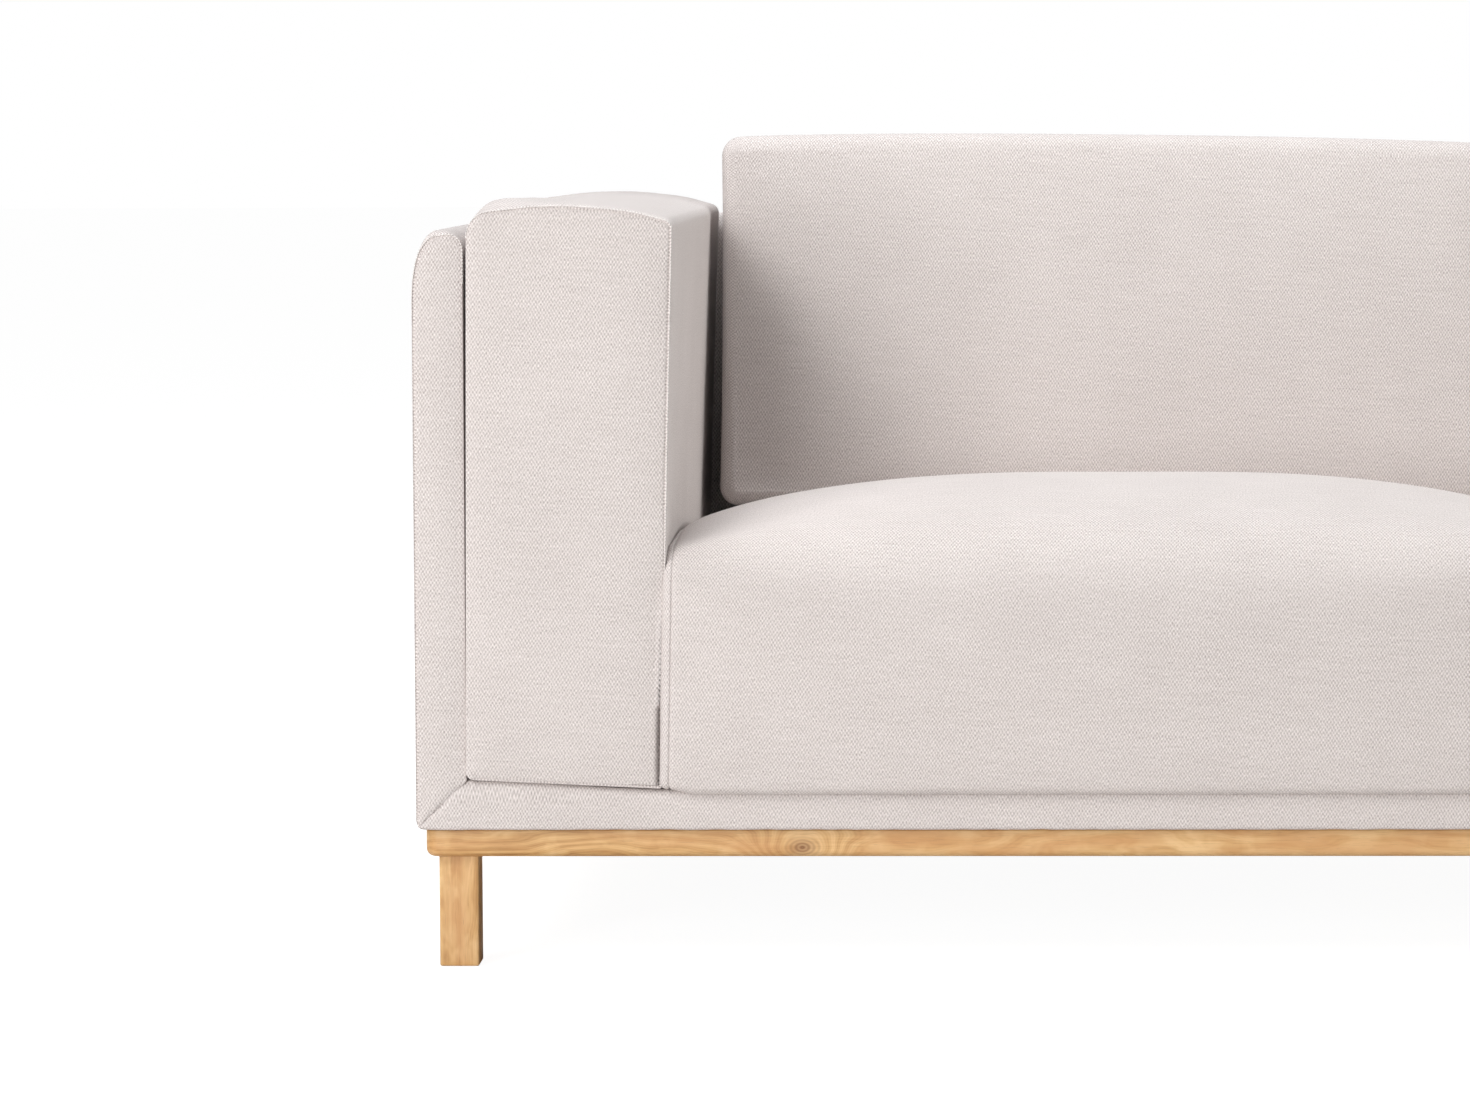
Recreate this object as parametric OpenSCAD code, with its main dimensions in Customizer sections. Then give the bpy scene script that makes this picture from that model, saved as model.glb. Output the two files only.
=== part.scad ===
// Two-cushion fabric sofa on a wooden plinth with square wooden legs.
// Millimetres. +X to the right as seen from the front, -Y to the front, +Z up.
// The origin is on the floor, under the middle of the sofa.

/* [Overall] */
// Width across the outer side panels
sofa_w = 2100; // [1800:10:2400]
// Depth from the seat cushions' front to the outer back
sofa_d = 860; // [840:10:960]
// Height of the outer side and back panels' tops
shell_h = 655; // [620:5:680]
// Height of the arm blocks' tops
arm_h = 676; // [640:1:700]
// Height of the back cushions' tops
sofa_h = 740; // [720:5:780]

/* [Legs and plinth] */
// Side of a square leg
leg_side = 35; // [30:1:45]
// Height of the plinth's underside
leg_h = 100; // [80:5:150]
// Height of a plinth rail
rail_h = 25; // [22:1:35]
// Width of a plinth rail, seen from above
rail_w = 60; // [55:1:75]
// Distance of the plinth's outer face behind the fabric
rail_inset = 8; // [4:1:12]
// Distance of a leg's outer face behind the plinth's outer face
leg_inset = 11; // [8:1:15]
// Radius of the plinth's outer corners, seen from above
rail_corner_r = 12; // [6:1:16]
// How far a glide stands below its leg
glide_drop = 1; // [1:0.5:3]

/* [Platform] */
// Height of a platform board
board_h = 28; // [24:1:32]
// Height of the strips that the arms and the back stand on
bearer_h = 9; // [8:1:12]
// Thickness of the front band's padding and cloth
band_t = 8; // [6:1:10]
// How far the cushions and arms stand proud of the front band
cushion_overhang = 10; // [6:1:14]
// Width of a webbing strap
strap_w = 60; // [50:5:70]
// Thickness of a webbing strap
strap_t = 1.5; // [1:0.5:2]

/* [Outer shell] */
// Thickness of an outer panel with its padding
panel_t = 46; // [40:1:50]
// Thickness of the board inside an outer panel
panel_board_t = 18; // [15:1:18]
// Padding over the front, rear and top edge of that board
panel_pad = 14; // [12:1:16]

/* [Arms and back] */
// Width of an arm block
arm_w = 178; // [160:1:200]
// How far an arm block's front stands proud of the front band
arm_proud = 5; // [3:1:8]
// Radius along an arm block's top edges
arm_top_r = 20; // [14:1:24]
// Depth of the seat well at the platform, from the arms' front to the back's foot
well_d = 675; // [660:5:680]
// How far the back's face leans back over its height
back_lean = 60; // [50:1:60]
// Thickness of a sewn cover
cloth_t = 2; // [1.5:0.5:3]
// Foam in front of the back frame
back_foam_t = 38; // [30:1:40]

/* [Cushions] */
// Gap between a cushion and what is beside or below it
cushion_gap = 1; // [0.5:0.5:3]
// Gap between the two cushions of a pair
middle_gap = 4; // [2:1:6]
// Height of a seat cushion's edge above the floor
seat_edge_h = 369; // [340:1:380]
// Crown of a seat cushion above its edge
seat_crown = 44; // [20:1:50]
// Length of the seat in front of the back cushions
seat_open_d = 520; // [480:5:530]
// Gap between a back cushion and the arm
back_side_gap = 17; // [10:1:20]
// Thickness of a back cushion at its foot
back_foot_t = 176; // [160:1:180]
// Thickness of a back cushion at its top
back_top_t = 142; // [120:1:150]
// Radius of a back cushion's edges
back_edge_r = 16; // [10:1:20]

/* [Hidden] */

$fn = 48;
left = "left";
right = "right";
// Overlap of a cutting solid past the face that it cuts
past = 1;

oak = [0.84, 0.66, 0.45];
pine = [0.87, 0.78, 0.6];
fabric = [0.86, 0.82, 0.8];
foam = [0.95, 0.93, 0.8];
webbing = [0.25, 0.25, 0.27];
black_cloth = [0.12, 0.12, 0.13];
steel = [0.7, 0.71, 0.73];
nylon = [0.8, 0.8, 0.78];

half_w = sofa_w / 2;
half_d = sofa_d / 2;
body_front = cushion_overhang - half_d;
inner_x = half_w - panel_t;
inner_y = half_d - panel_t;

// Plinth
rail_x = half_w - rail_inset;
rail_y = half_d - cushion_overhang - rail_inset;
rail_top = leg_h + rail_h;
leg_x = rail_x - leg_inset - leg_side / 2;
leg_y = rail_y - leg_inset - leg_side / 2;
corner_signs = [[-1, -1], [1, -1], [-1, 1], [1, 1]];
leg_places = concat([for (s = corner_signs) [s[0] * leg_x, s[1] * leg_y]], [[0, 0]]);
insert_r = 6;
insert_h = 18;
bolt_r = 3.9;
thread_gap = 0.1;
bolt_in_leg = 40;
glide_r = 11;
glide_h = 4;
dowel_r = 4;
dowel_l = 50;
// Dowels stand to each side of the leg insert
dowel_spread = 19;
side_rail_x = rail_x - rail_w / 2;
screw_r = 2.2;
screw_head_r = 4.5;
screw_head_h = 3;
screw_l = 42;
screw_clear = 0.2;
rail_screw_x = [-0.7, -0.35, 0.35, 0.7];
// A screw stands this far in from the platform's outer edge
screw_edge = 17;
rail_screw_places = concat(
    [for (y = [-1, 1], x = rail_screw_x) [x * half_w, y * (inner_y - screw_edge)]],
    [for (x = [-1, 1]) [x * (inner_x - screw_edge / 2 - 1), 0]]);

// Platform
board_top = rail_top + board_h;
base_top = board_top + bearer_h;
band_top = base_top - 2;
side_board_w = panel_t + arm_w - 24;
front_board_w = 80;
rear_board_w = 120;
centre_board_w = 60;
board_front = body_front + band_t;
board_well_front = board_front + front_board_w;
board_well_back = inner_y - rear_board_w;
board_well_x = inner_x - side_board_w;
deck_front = board_front + rail_w;
block_side = 60;
strap_fold = 20;
long_straps = 5;
cross_straps = 4;

// Arms and back
arm_inner_x = inner_x - arm_w;
arm_front = body_front - arm_proud;
back_foot_y = arm_front + well_d;
back_run = shell_h - base_top;
lean_angle = atan(back_lean / back_run);
back_top_r = 20;
arm_foot_r = 8;
arm_pad_side = 32;
arm_pad_top = 38;
arm_pad_front = 25;
arm_pad_outer = 3;
arm_board_t = 15;
arm_sheet_t = 6;
arm_frame_x0 = -inner_x + cloth_t + arm_pad_outer;
arm_frame_x1 = -arm_inner_x - cloth_t - arm_pad_side;
arm_frame_y0 = arm_front + cloth_t + arm_pad_front;
arm_frame_y1 = back_foot_y - 10;
arm_frame_top = arm_h - cloth_t - arm_pad_top;
arm_rib_places = [1 / 3, 2 / 3];
back_frame_t = 25;
back_member_w = 60;
back_frame_x = inner_x - 10;
back_frame_y = cloth_t + back_foam_t + strap_t;
back_frame_l = 470;
back_strap_places = [140, 230, 320];
frame_bolt_l = 55;
frame_bolt_head_r = 8;
frame_bolt_head_h = 6;
arm_bolt_x = (arm_frame_x0 + arm_frame_x1) / 2;
back_bolt_y = back_foot_y + back_frame_y + back_frame_t / 2;
frame_bolt_places = concat(
    [for (s = [-1, 1], t = [0.25, 0.8]) [s * arm_bolt_x, arm_frame_y0 + t * (arm_frame_y1 - arm_frame_y0)]],
    [for (x = [-0.6, -0.2, 0.2, 0.6]) [x * half_w, back_bolt_y]]);

// Cushions
seat_x0 = -arm_inner_x + cushion_gap;
seat_x1 = -middle_gap / 2;
seat_z0 = band_top + cushion_gap;
seat_y0 = -half_d;
seat_y1 = back_foot_y - 8;
seat_crown_end = seat_y0 + seat_open_d;
seat_front_r = 30;
seat_low_r = 15;
back_x0 = -arm_inner_x + back_side_gap;
back_z0 = seat_edge_h + cushion_gap;
back_rear_gap = 10;
back_rear_foot = back_face(back_z0) - back_rear_gap;
back_rear_top = back_face(sofa_h) - back_rear_gap;
back_tilt = atan((back_rear_top - back_rear_foot) / (sofa_h - back_z0 - 2 * back_edge_r));

// Zips
zip_end_gap = 80;
zip_tape_w = 28;
zip_tape_t = 1;
zip_coil_w = 5;
zip_coil_h = 1.6;
zip_clear = 0.3;
pull_l = 14;
pull_w = 11;
pull_t = 4;
seat_zip_z = (seat_z0 + seat_edge_h) / 2;
back_zip_up = 60;

// Place on the back's leaning face at height z
function back_face(z) = back_foot_y + (z - base_top) * back_lean / back_run;

// Points of an arc in its own plane, from angle a0 to a1
function arc(c, r, a0, a1, steps = 8) =
    [for (i = [0 : steps]) let (a = a0 + (a1 - a0) * i / steps) c + r * [cos(a), sin(a)]];

module on_side(side) {
    if (side == right) mirror([1, 0, 0]) children();
    else children();
}

// An outline in X and Z, drawn out from y0 to y1
module along_y(y0, y1) {
    translate([0, y1, 0]) rotate([90, 0, 0]) linear_extrude(y1 - y0) children();
}

// An outline in Y and Z, drawn out from x0 to x1
module along_x(x0, x1) {
    translate([x0, 0, 0]) rotate([90, 0, 90]) linear_extrude(x1 - x0) children();
}

module box(low, high) {
    translate(low) cube(high - low);
}

// A rectangle with round corners, of radius r_low below and r_top above
module round_rect(low, high, r_low, r_top) {
    w = high[0] - low[0];
    h = high[1] - low[1];
    translate(low) {
        translate([0, r_low]) square([w, h - r_low - r_top]);
        translate([r_low, 0]) square([w - 2 * r_low, h / 2]);
        translate([r_top, h / 2]) square([w - 2 * r_top, h / 2]);
        for (x = [r_low, w - r_low]) translate([x, r_low]) circle(r_low);
        for (x = [r_top, w - r_top]) translate([x, h - r_top]) circle(r_top);
    }
}

// --- Plinth ---

module dowel_set(gap) {
    for (s = corner_signs, dx = [-dowel_spread, dowel_spread])
        translate([s[0] * side_rail_x + dx, s[1] * (rail_y - rail_w), leg_h + rail_h / 2])
            rotate([90, 0, 0]) cylinder(r = dowel_r + gap, h = dowel_l + 2 * gap, center = true);
    for (s = [-1, 1], dx = [-dowel_spread, dowel_spread])
        translate([dx, s * (rail_y - rail_w), leg_h + rail_h / 2])
            rotate([90, 0, 0]) cylinder(r = dowel_r + gap, h = dowel_l + 2 * gap, center = true);
}

module screw_set(gap) {
    for (p = rail_screw_places) translate([p[0], p[1], leg_h]) {
        translate([0, 0, -past * gap]) cylinder(r = screw_head_r + gap, h = screw_head_h + gap);
        translate([0, 0, 0.5]) cylinder(r = screw_r + gap, h = screw_l + gap);
    }
}

module insert_holes() {
    for (p = leg_places) translate([p[0], p[1], leg_h - past]) cylinder(r = insert_r, h = insert_h + past);
}

module rail_holes() {
    dowel_set(thread_gap);
    screw_set(screw_clear);
    insert_holes();
}

module rail_outline(side) {
    r = rail_corner_r;
    mirror([0, side < 0 ? 0 : 1]) translate([0, -rail_y]) {
        translate([-rail_x, r]) square([2 * rail_x, rail_w - r]);
        translate([r - rail_x, 0]) square([2 * (rail_x - r), rail_w / 2]);
        for (s = [-1, 1]) translate([s * (rail_x - r), r]) circle(r);
    }
}

// side is -1 for the front rail and 1 for the rear rail
module long_rail(side) {
    color(oak) difference() {
        translate([0, 0, leg_h]) linear_extrude(rail_h) rail_outline(side);
        rail_holes();
    }
}

module side_rail(side) {
    color(oak) on_side(side) difference() {
        box([-rail_x, rail_w - rail_y, leg_h], [rail_w - rail_x, rail_y - rail_w, rail_top]);
        rail_holes();
    }
}

module centre_rail() {
    color(oak) difference() {
        box([-rail_w / 2, rail_w - rail_y, leg_h], [rail_w / 2, rail_y - rail_w, rail_top]);
        rail_holes();
    }
}

module rail_dowels() {
    color(pine) dowel_set(0);
}

module rail_screws() {
    color(steel) screw_set(0);
}

// --- Legs ---

module leg_fixings(gap) {
    for (p = leg_places) translate([p[0], p[1], leg_h - bolt_in_leg - gap])
        cylinder(r = bolt_r + gap, h = bolt_in_leg + insert_h - past + gap);
}

module glide_set(gap) {
    for (p = leg_places) translate([p[0], p[1], 0]) cylinder(r = glide_r + gap, h = glide_h + gap);
}

module leg(place) {
    color(oak) difference() {
        translate([place[0] - leg_side / 2, place[1] - leg_side / 2, glide_drop])
            cube([leg_side, leg_side, leg_h - glide_drop]);
        leg_fixings(thread_gap);
        glide_set(thread_gap);
    }
}

module leg_bolts() {
    color(steel) leg_fixings(0);
}

module leg_inserts() {
    color(steel) for (p = leg_places) translate([p[0], p[1], leg_h]) difference() {
        cylinder(r = insert_r - thread_gap, h = insert_h - thread_gap);
        translate([0, 0, -past]) cylinder(r = bolt_r + thread_gap, h = insert_h + 2 * past);
    }
}

module leg_glides() {
    color(nylon) glide_set(0);
}

// --- Platform ---

// Holes in the boards, for the plinth's screws and the arms' and the back's bolts
module board_holes() {
    screw_set(thread_gap);
    frame_bolt_set(thread_gap);
}

module base_front_board() {
    color(pine) difference() {
        box([-inner_x, board_front, rail_top], [inner_x, board_well_front, board_top]);
        board_holes();
    }
}

module base_rear_board() {
    color(pine) difference() {
        box([-inner_x, board_well_back, rail_top], [inner_x, inner_y, board_top]);
        board_holes();
    }
}

module base_side_board(side) {
    color(pine) on_side(side) difference() {
        box([-inner_x, board_well_front, rail_top], [-board_well_x, board_well_back, board_top]);
        board_holes();
    }
}

module base_centre_board() {
    color(pine) box([-centre_board_w / 2, board_well_front, rail_top],
        [centre_board_w / 2, board_well_back, board_top]);
}

module corner_blocks() {
    b = block_side;
    color(pine) for (side = [left, right]) on_side(side) translate([0, 0, rail_top]) linear_extrude(board_h) {
        translate([-board_well_x, board_well_front]) polygon([[0, 0], [b, 0], [0, b]]);
        translate([-board_well_x, board_well_back]) polygon([[0, 0], [b, 0], [0, -b]]);
    }
}

module arm_bearers() {
    color(pine) difference() {
        for (side = [left, right]) on_side(side)
            box([-inner_x, deck_front, board_top], [-arm_inner_x, board_well_back, base_top]);
        frame_bolt_set(thread_gap);
    }
}

module back_bearer() {
    color(pine) difference() {
        box([-inner_x, board_well_back + strap_fold, board_top], [inner_x, inner_y, base_top]);
        frame_bolt_set(thread_gap);
    }
}

// Straps from front to rear under straps from side to side; their stapled ends are folded double
module seat_webbing() {
    x0 = arm_inner_x - cushion_gap;
    y0 = board_well_front - strap_fold;
    y1 = board_well_back + strap_fold;
    span_x = board_well_x - centre_board_w / 2;
    span_y = board_well_back - board_well_front;
    low = board_top;
    color(webbing) {
        for (side = [left, right], i = [1 : long_straps]) on_side(side)
            translate([-board_well_x + span_x * (i - 0.5) / long_straps - strap_w / 2, 0, low])
                box([0, y0, 0], [strap_w, y1, strap_t]);
        for (i = [1 : cross_straps])
            translate([0, board_well_front + span_y * i / (cross_straps + 1) - strap_w / 2, low]) {
                box([-x0, 0, strap_t], [x0, strap_w, 2 * strap_t]);
                for (side = [left, right]) on_side(side) box([-x0, 0, 0], [-board_well_x, strap_w, strap_t]);
            }
    }
}

module deck_cloth() {
    x = arm_inner_x - cushion_gap;
    color(fabric) box([-x, deck_front, board_top + 2 * strap_t], [x, board_well_back, band_top]);
}

// The padded band along the front, mitred where it meets the side panels
module front_band() {
    color(fabric) {
        along_y(body_front, board_front)
            polygon([[-half_w, rail_top], [half_w, rail_top], [inner_x, band_top], [-inner_x, band_top]]);
        box([-inner_x, board_front - past, board_top], [inner_x, deck_front, band_top]);
    }
}

module dust_cover() {
    x1 = rail_x - rail_w;
    y = rail_y - rail_w;
    color(black_cloth) for (side = [left, right]) on_side(side)
        box([-x1, -y, rail_top - 1], [-rail_w / 2, y, rail_top]);
}

// --- Outer shell ---

module panel_outline(low) {
    h = shell_h - rail_top - panel_t / 2;
    translate(low) {
        square([panel_t, h]);
        translate([panel_t / 2, h]) circle(panel_t / 2);
    }
}

module side_panel_board(side) {
    x0 = -half_w + panel_pad;
    color(pine) on_side(side) box([x0, body_front + panel_pad, rail_top],
        [x0 + panel_board_t, half_d - panel_pad, shell_h - panel_pad - 4]);
}

module back_panel_board() {
    x = half_w - panel_pad - panel_board_t;
    y1 = half_d - panel_pad;
    color(pine) box([-x, y1 - panel_board_t, rail_top], [x, y1, shell_h - panel_pad - 4]);
}

module panel_boards() {
    side_panel_board(left);
    side_panel_board(right);
    back_panel_board();
}

module side_panel_cover(side) {
    color(fabric) on_side(side) difference() {
        intersection() {
            along_y(body_front, half_d + past) panel_outline([-half_w, rail_top]);
            translate([0, 0, rail_top - past]) linear_extrude(shell_h) polygon([
                [-half_w - past, -half_d - past], [past - inner_x, -half_d - past],
                [past - inner_x, inner_y - past], [-half_w - past, half_d + past]]);
        }
        panel_boards();
        along_y(body_front - past, board_front)
            polygon([[-half_w, rail_top - past], [-half_w, rail_top], [-inner_x, band_top],
                [past - inner_x, band_top], [past - inner_x, rail_top - past]]);
    }
}

module back_panel_cover() {
    color(fabric) difference() {
        intersection() {
            along_x(-half_w - past, half_w + past) panel_outline([inner_y, rail_top]);
            translate([0, 0, rail_top - past]) linear_extrude(shell_h) polygon([
                [-half_w - past, half_d + past], [past - inner_x, inner_y - past],
                [inner_x - past, inner_y - past], [half_w + past, half_d + past]]);
        }
        panel_boards();
    }
}

// --- Arms ---

// Everything behind the back's leaning face
module behind_back_face() {
    along_x(-half_w, half_w) polygon([[back_face(0), 0], [2 * half_d, 0], [2 * half_d, 2 * shell_h],
        [back_face(2 * shell_h), 2 * shell_h]]);
}

// The arm block's outer form, drawn in by g on all sides but the rear
module arm_form(g) {
    difference() {
        along_y(arm_front + g, half_d)
            round_rect([g - inner_x, base_top + g], [-arm_inner_x - g, arm_h - g], arm_foot_r - g, arm_top_r - g);
        behind_back_face();
    }
}

// Room for the frame, open below and to the rear
module arm_frame_space() {
    box([arm_frame_x0, arm_frame_y0, base_top - past], [arm_frame_x1, half_d, arm_frame_top]);
}

module arm_cover(side) {
    color(fabric) on_side(side) difference() {
        arm_form(0);
        arm_form(cloth_t);
        arm_frame_space();
    }
}

module arm_foam(side) {
    color(foam) on_side(side) difference() {
        arm_form(cloth_t);
        arm_frame_space();
    }
}

module arm_frame(side) {
    t = arm_board_t;
    x0 = arm_frame_x0;
    x1 = arm_frame_x1;
    y0 = arm_frame_y0;
    y1 = arm_frame_y1;
    color(pine) on_side(side) difference() {
        union() {
            for (y = concat([y0, y1 - t], [for (r = arm_rib_places) y0 + r * (y1 - y0)]))
                box([x0, y, base_top], [x1, y + t, arm_frame_top]);
            box([x0, y0, base_top], [x1, y1, base_top + t]);
            box([x0, y0, arm_frame_top - t], [x1, y1, arm_frame_top]);
            box([x1 - arm_sheet_t, y0, base_top], [x1, y1, arm_frame_top]);
        }
        frame_bolt_set(thread_gap);
    }
}

// --- Back ---

// The back's outline, drawn in by g at its face and top and past its foot and rear
module back_outline(g) {
    r = back_top_r - g;
    out = g > 0 ? past : 0;
    slant = sqrt(1 + pow(back_lean / back_run, 2));
    centre = [back_face(shell_h - g - r) + (g + r) * slant, shell_h - g - r];
    polygon(concat(
        [[back_face(base_top - out) + g * slant, base_top - out], [inner_y + out, base_top - out],
            [inner_y + out, shell_h - g]],
        arc(centre, r, 90, 180 - lean_angle)));
}

module reclined() {
    translate([0, back_foot_y, base_top]) rotate([-lean_angle, 0, 0]) children();
}

module back_cover() {
    color(fabric) difference() {
        along_x(-inner_x, inner_x) back_outline(0);
        along_x(cloth_t - inner_x, inner_x - cloth_t) back_outline(cloth_t);
    }
}

module back_foam() {
    x = inner_x - cloth_t;
    color(foam) intersection() {
        along_x(-x, x) back_outline(cloth_t);
        box([-x, 0, base_top], [x, inner_y, shell_h]);
        reclined() box([-x, 0, -shell_h], [x, cloth_t + back_foam_t, shell_h]);
    }
}

module back_frame() {
    x = back_frame_x;
    w = back_member_w;
    y0 = back_frame_y;
    y1 = back_frame_y + back_frame_t;
    color(pine) difference() {
        intersection() {
            reclined() {
                box([-x, y0, -w], [x, y1, w]);
                box([-x, y0, back_frame_l - w], [x, y1, back_frame_l]);
                for (cx = [-1, -1 / 3, 1 / 3, 1]) translate([cx * (x - w / 2), 0, 0])
                    box([-w / 2, y0, 0], [w / 2, y1, back_frame_l]);
            }
            box([-x, 0, base_top], [x, inner_y, shell_h]);
        }
        frame_bolt_set(thread_gap);
    }
}

module back_webbing() {
    x = back_frame_x;
    color(webbing) reclined() for (z = back_strap_places)
        box([-x, back_frame_y - strap_t, z], [x, back_frame_y, z + strap_w]);
}

// Bolts up through the platform into the arm frames and the back frame
module frame_bolt_set(gap) {
    for (p = frame_bolt_places) translate([p[0], p[1], rail_top]) {
        translate([0, 0, -past * gap]) cylinder(r = frame_bolt_head_r + gap, h = frame_bolt_head_h + gap);
        translate([0, 0, past]) cylinder(r = bolt_r + gap, h = frame_bolt_l - past + gap);
    }
}

module frame_bolts() {
    color(steel) frame_bolt_set(0);
}

// --- Seat cushions ---

function seat_top(y) = seat_edge_h + seat_crown * sin(180 * (y - seat_y0) / (seat_crown_end - seat_y0));

// The seat cushion's outline in Y and Z, drawn in by g
module seat_outline(g) {
    steps = 14;
    f = seat_front_r;
    r = seat_low_r;
    crown_start = seat_y0 + f;
    polygon(concat(
        arc([seat_y0 + r, seat_z0 + r], r - g, 270, 180),
        arc([seat_y0 + f, seat_top(crown_start) - f], f - g, 180, 90),
        [for (i = [1 : steps]) let (y = crown_start + (seat_crown_end - crown_start) * i / steps)
            [y, seat_top(y) - g]],
        arc([seat_y1 - r, seat_edge_h - r], r - g, 90, 0),
        arc([seat_y1 - r, seat_z0 + r], r - g, 0, -90)));
}

module seat_cushion_cover(side) {
    color(fabric) on_side(side) difference() {
        along_x(seat_x0, seat_x1) seat_outline(0);
        along_x(seat_x0 + cloth_t, seat_x1 - cloth_t) seat_outline(cloth_t);
    }
}

module seat_cushion_foam(side) {
    g = 2 * cloth_t;
    color(foam) on_side(side) along_x(seat_x0 + g, seat_x1 - g) seat_outline(g);
}

// --- Back cushions ---

// The back cushion's outline in Y and Z, drawn in by g
module back_cushion_outline(g) {
    r = back_edge_r;
    y0 = back_rear_foot;
    y1 = back_rear_top;
    hull() for (c = [[y0 - r, back_z0 + r], [y0 - back_foot_t + r, back_z0 + r],
                     [y1 - r, sofa_h - r], [y1 - back_top_t + r, sofa_h - r]])
        translate(c) circle(r - g);
}

module back_cushion_cover(side) {
    color(fabric) on_side(side) difference() {
        along_x(back_x0, seat_x1) back_cushion_outline(0);
        along_x(back_x0 + cloth_t, seat_x1 - cloth_t) back_cushion_outline(cloth_t);
    }
}

module back_cushion_foam(side) {
    g = 2 * cloth_t;
    color(foam) on_side(side) along_x(back_x0 + g, seat_x1 - g) back_cushion_outline(g);
}

// --- Zips ---

// A zip along X on a face that looks to the rear, with its middle line at y = 0 and z = 0
module zip(x0, x1) {
    box([x0, 0, -zip_tape_w / 2], [x1, zip_tape_t, zip_tape_w / 2]);
    box([x0, 0, -zip_coil_w / 2], [x1, zip_tape_t + zip_coil_h, zip_coil_w / 2]);
}

// The slider at the zip's shut end, which straddles the coil
module zip_pull(x1) {
    c = zip_coil_w / 2 + zip_clear;
    y0 = zip_tape_t + zip_clear;
    difference() {
        box([x1 - pull_l, y0, -pull_w / 2], [x1, y0 + pull_t, pull_w / 2]);
        box([x1 - pull_l - past, y0 - past, -c], [x1 + past, y0 + zip_coil_h, c]);
    }
}

module on_seat_rear() {
    translate([0, seat_y1, seat_zip_z]) children();
}

// The rear face of a back cushion, which touches the outline's two rear rounds
module on_back_rear() {
    r = back_edge_r;
    translate([0, back_rear_foot - r, back_z0 + r]) rotate([-back_tilt, 0, 0])
        translate([0, r, back_zip_up]) children();
}

module seat_cushion_zip(side) {
    color(webbing) on_side(side) on_seat_rear() zip(seat_x0 + zip_end_gap, seat_x1 - zip_end_gap);
}

module seat_zip_pull(side) {
    color(steel) on_side(side) on_seat_rear() zip_pull(seat_x1 - zip_end_gap - zip_clear);
}

module back_cushion_zip(side) {
    color(webbing) on_side(side) on_back_rear() zip(back_x0 + zip_end_gap, seat_x1 - zip_end_gap);
}

module back_zip_pull(side) {
    color(steel) on_side(side) on_back_rear() zip_pull(seat_x1 - zip_end_gap - zip_clear);
}

long_rail(-1);  // front_rail
long_rail(1);  // rear_rail
side_rail(left);  // left_rail
side_rail(right);  // right_rail
centre_rail();
rail_dowels();
rail_screws();
leg(leg_places[0]);  // leg_front_left
leg(leg_places[1]);  // leg_front_right
leg(leg_places[2]);  // leg_rear_left
leg(leg_places[3]);  // leg_rear_right
leg(leg_places[4]);  // leg_centre
leg_bolts();
leg_inserts();
leg_glides();
base_front_board();
base_rear_board();
base_side_board(left);  // base_left_board
base_side_board(right);  // base_right_board
base_centre_board();
corner_blocks();
arm_bearers();
back_bearer();
seat_webbing();
deck_cloth();
front_band();
dust_cover();
side_panel_board(left);  // left_panel_board
side_panel_board(right);  // right_panel_board
back_panel_board();
side_panel_cover(left);  // left_panel_cover
side_panel_cover(right);  // right_panel_cover
back_panel_cover();
arm_frame(left);  // arm_frame_left
arm_frame(right);  // arm_frame_right
arm_foam(left);  // arm_foam_left
arm_foam(right);  // arm_foam_right
arm_cover(left);  // arm_cover_left
arm_cover(right);  // arm_cover_right
back_frame();
back_webbing();
back_foam();
back_cover();
frame_bolts();
seat_cushion_cover(left);  // seat_cushion_cover_left
seat_cushion_cover(right);  // seat_cushion_cover_right
seat_cushion_foam(left);  // seat_cushion_foam_left
seat_cushion_foam(right);  // seat_cushion_foam_right
seat_cushion_zip(left);  // seat_cushion_zip_left
seat_cushion_zip(right);  // seat_cushion_zip_right
seat_zip_pull(left);  // seat_zip_pull_left
seat_zip_pull(right);  // seat_zip_pull_right
back_cushion_cover(left);  // back_cushion_cover_left
back_cushion_cover(right);  // back_cushion_cover_right
back_cushion_foam(left);  // back_cushion_foam_left
back_cushion_foam(right);  // back_cushion_foam_right
back_cushion_zip(left);  // back_cushion_zip_left
back_cushion_zip(right);  // back_cushion_zip_right
back_zip_pull(left);  // back_zip_pull_left
back_zip_pull(right);  // back_zip_pull_right
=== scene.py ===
"""Looks of the two-cushion sofa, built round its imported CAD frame. Shapes are worked out in millimetres."""
import math

import bmesh
import bpy
import numpy as np
from mathutils import Euler, Matrix, Vector


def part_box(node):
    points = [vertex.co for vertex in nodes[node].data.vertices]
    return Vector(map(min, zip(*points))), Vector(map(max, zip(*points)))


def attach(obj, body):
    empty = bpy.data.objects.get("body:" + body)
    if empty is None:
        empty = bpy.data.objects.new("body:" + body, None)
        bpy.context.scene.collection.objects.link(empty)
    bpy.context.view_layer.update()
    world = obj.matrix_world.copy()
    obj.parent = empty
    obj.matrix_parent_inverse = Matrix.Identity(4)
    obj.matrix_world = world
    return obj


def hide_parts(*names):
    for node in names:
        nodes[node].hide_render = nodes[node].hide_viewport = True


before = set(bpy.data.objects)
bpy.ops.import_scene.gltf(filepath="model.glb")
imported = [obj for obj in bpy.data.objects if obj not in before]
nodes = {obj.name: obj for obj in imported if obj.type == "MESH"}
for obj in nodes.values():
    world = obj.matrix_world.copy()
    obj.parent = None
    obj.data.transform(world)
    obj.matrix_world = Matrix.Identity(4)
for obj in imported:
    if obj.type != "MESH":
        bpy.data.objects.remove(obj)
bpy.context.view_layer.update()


def box(node):
    """A CAD node's lowest and highest corners, in millimetres."""
    low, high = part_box(node)
    return np.array(low) * 1000, np.array(high) * 1000


# ---------------------------------------------------------------- shared sizes, from the frame

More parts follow.
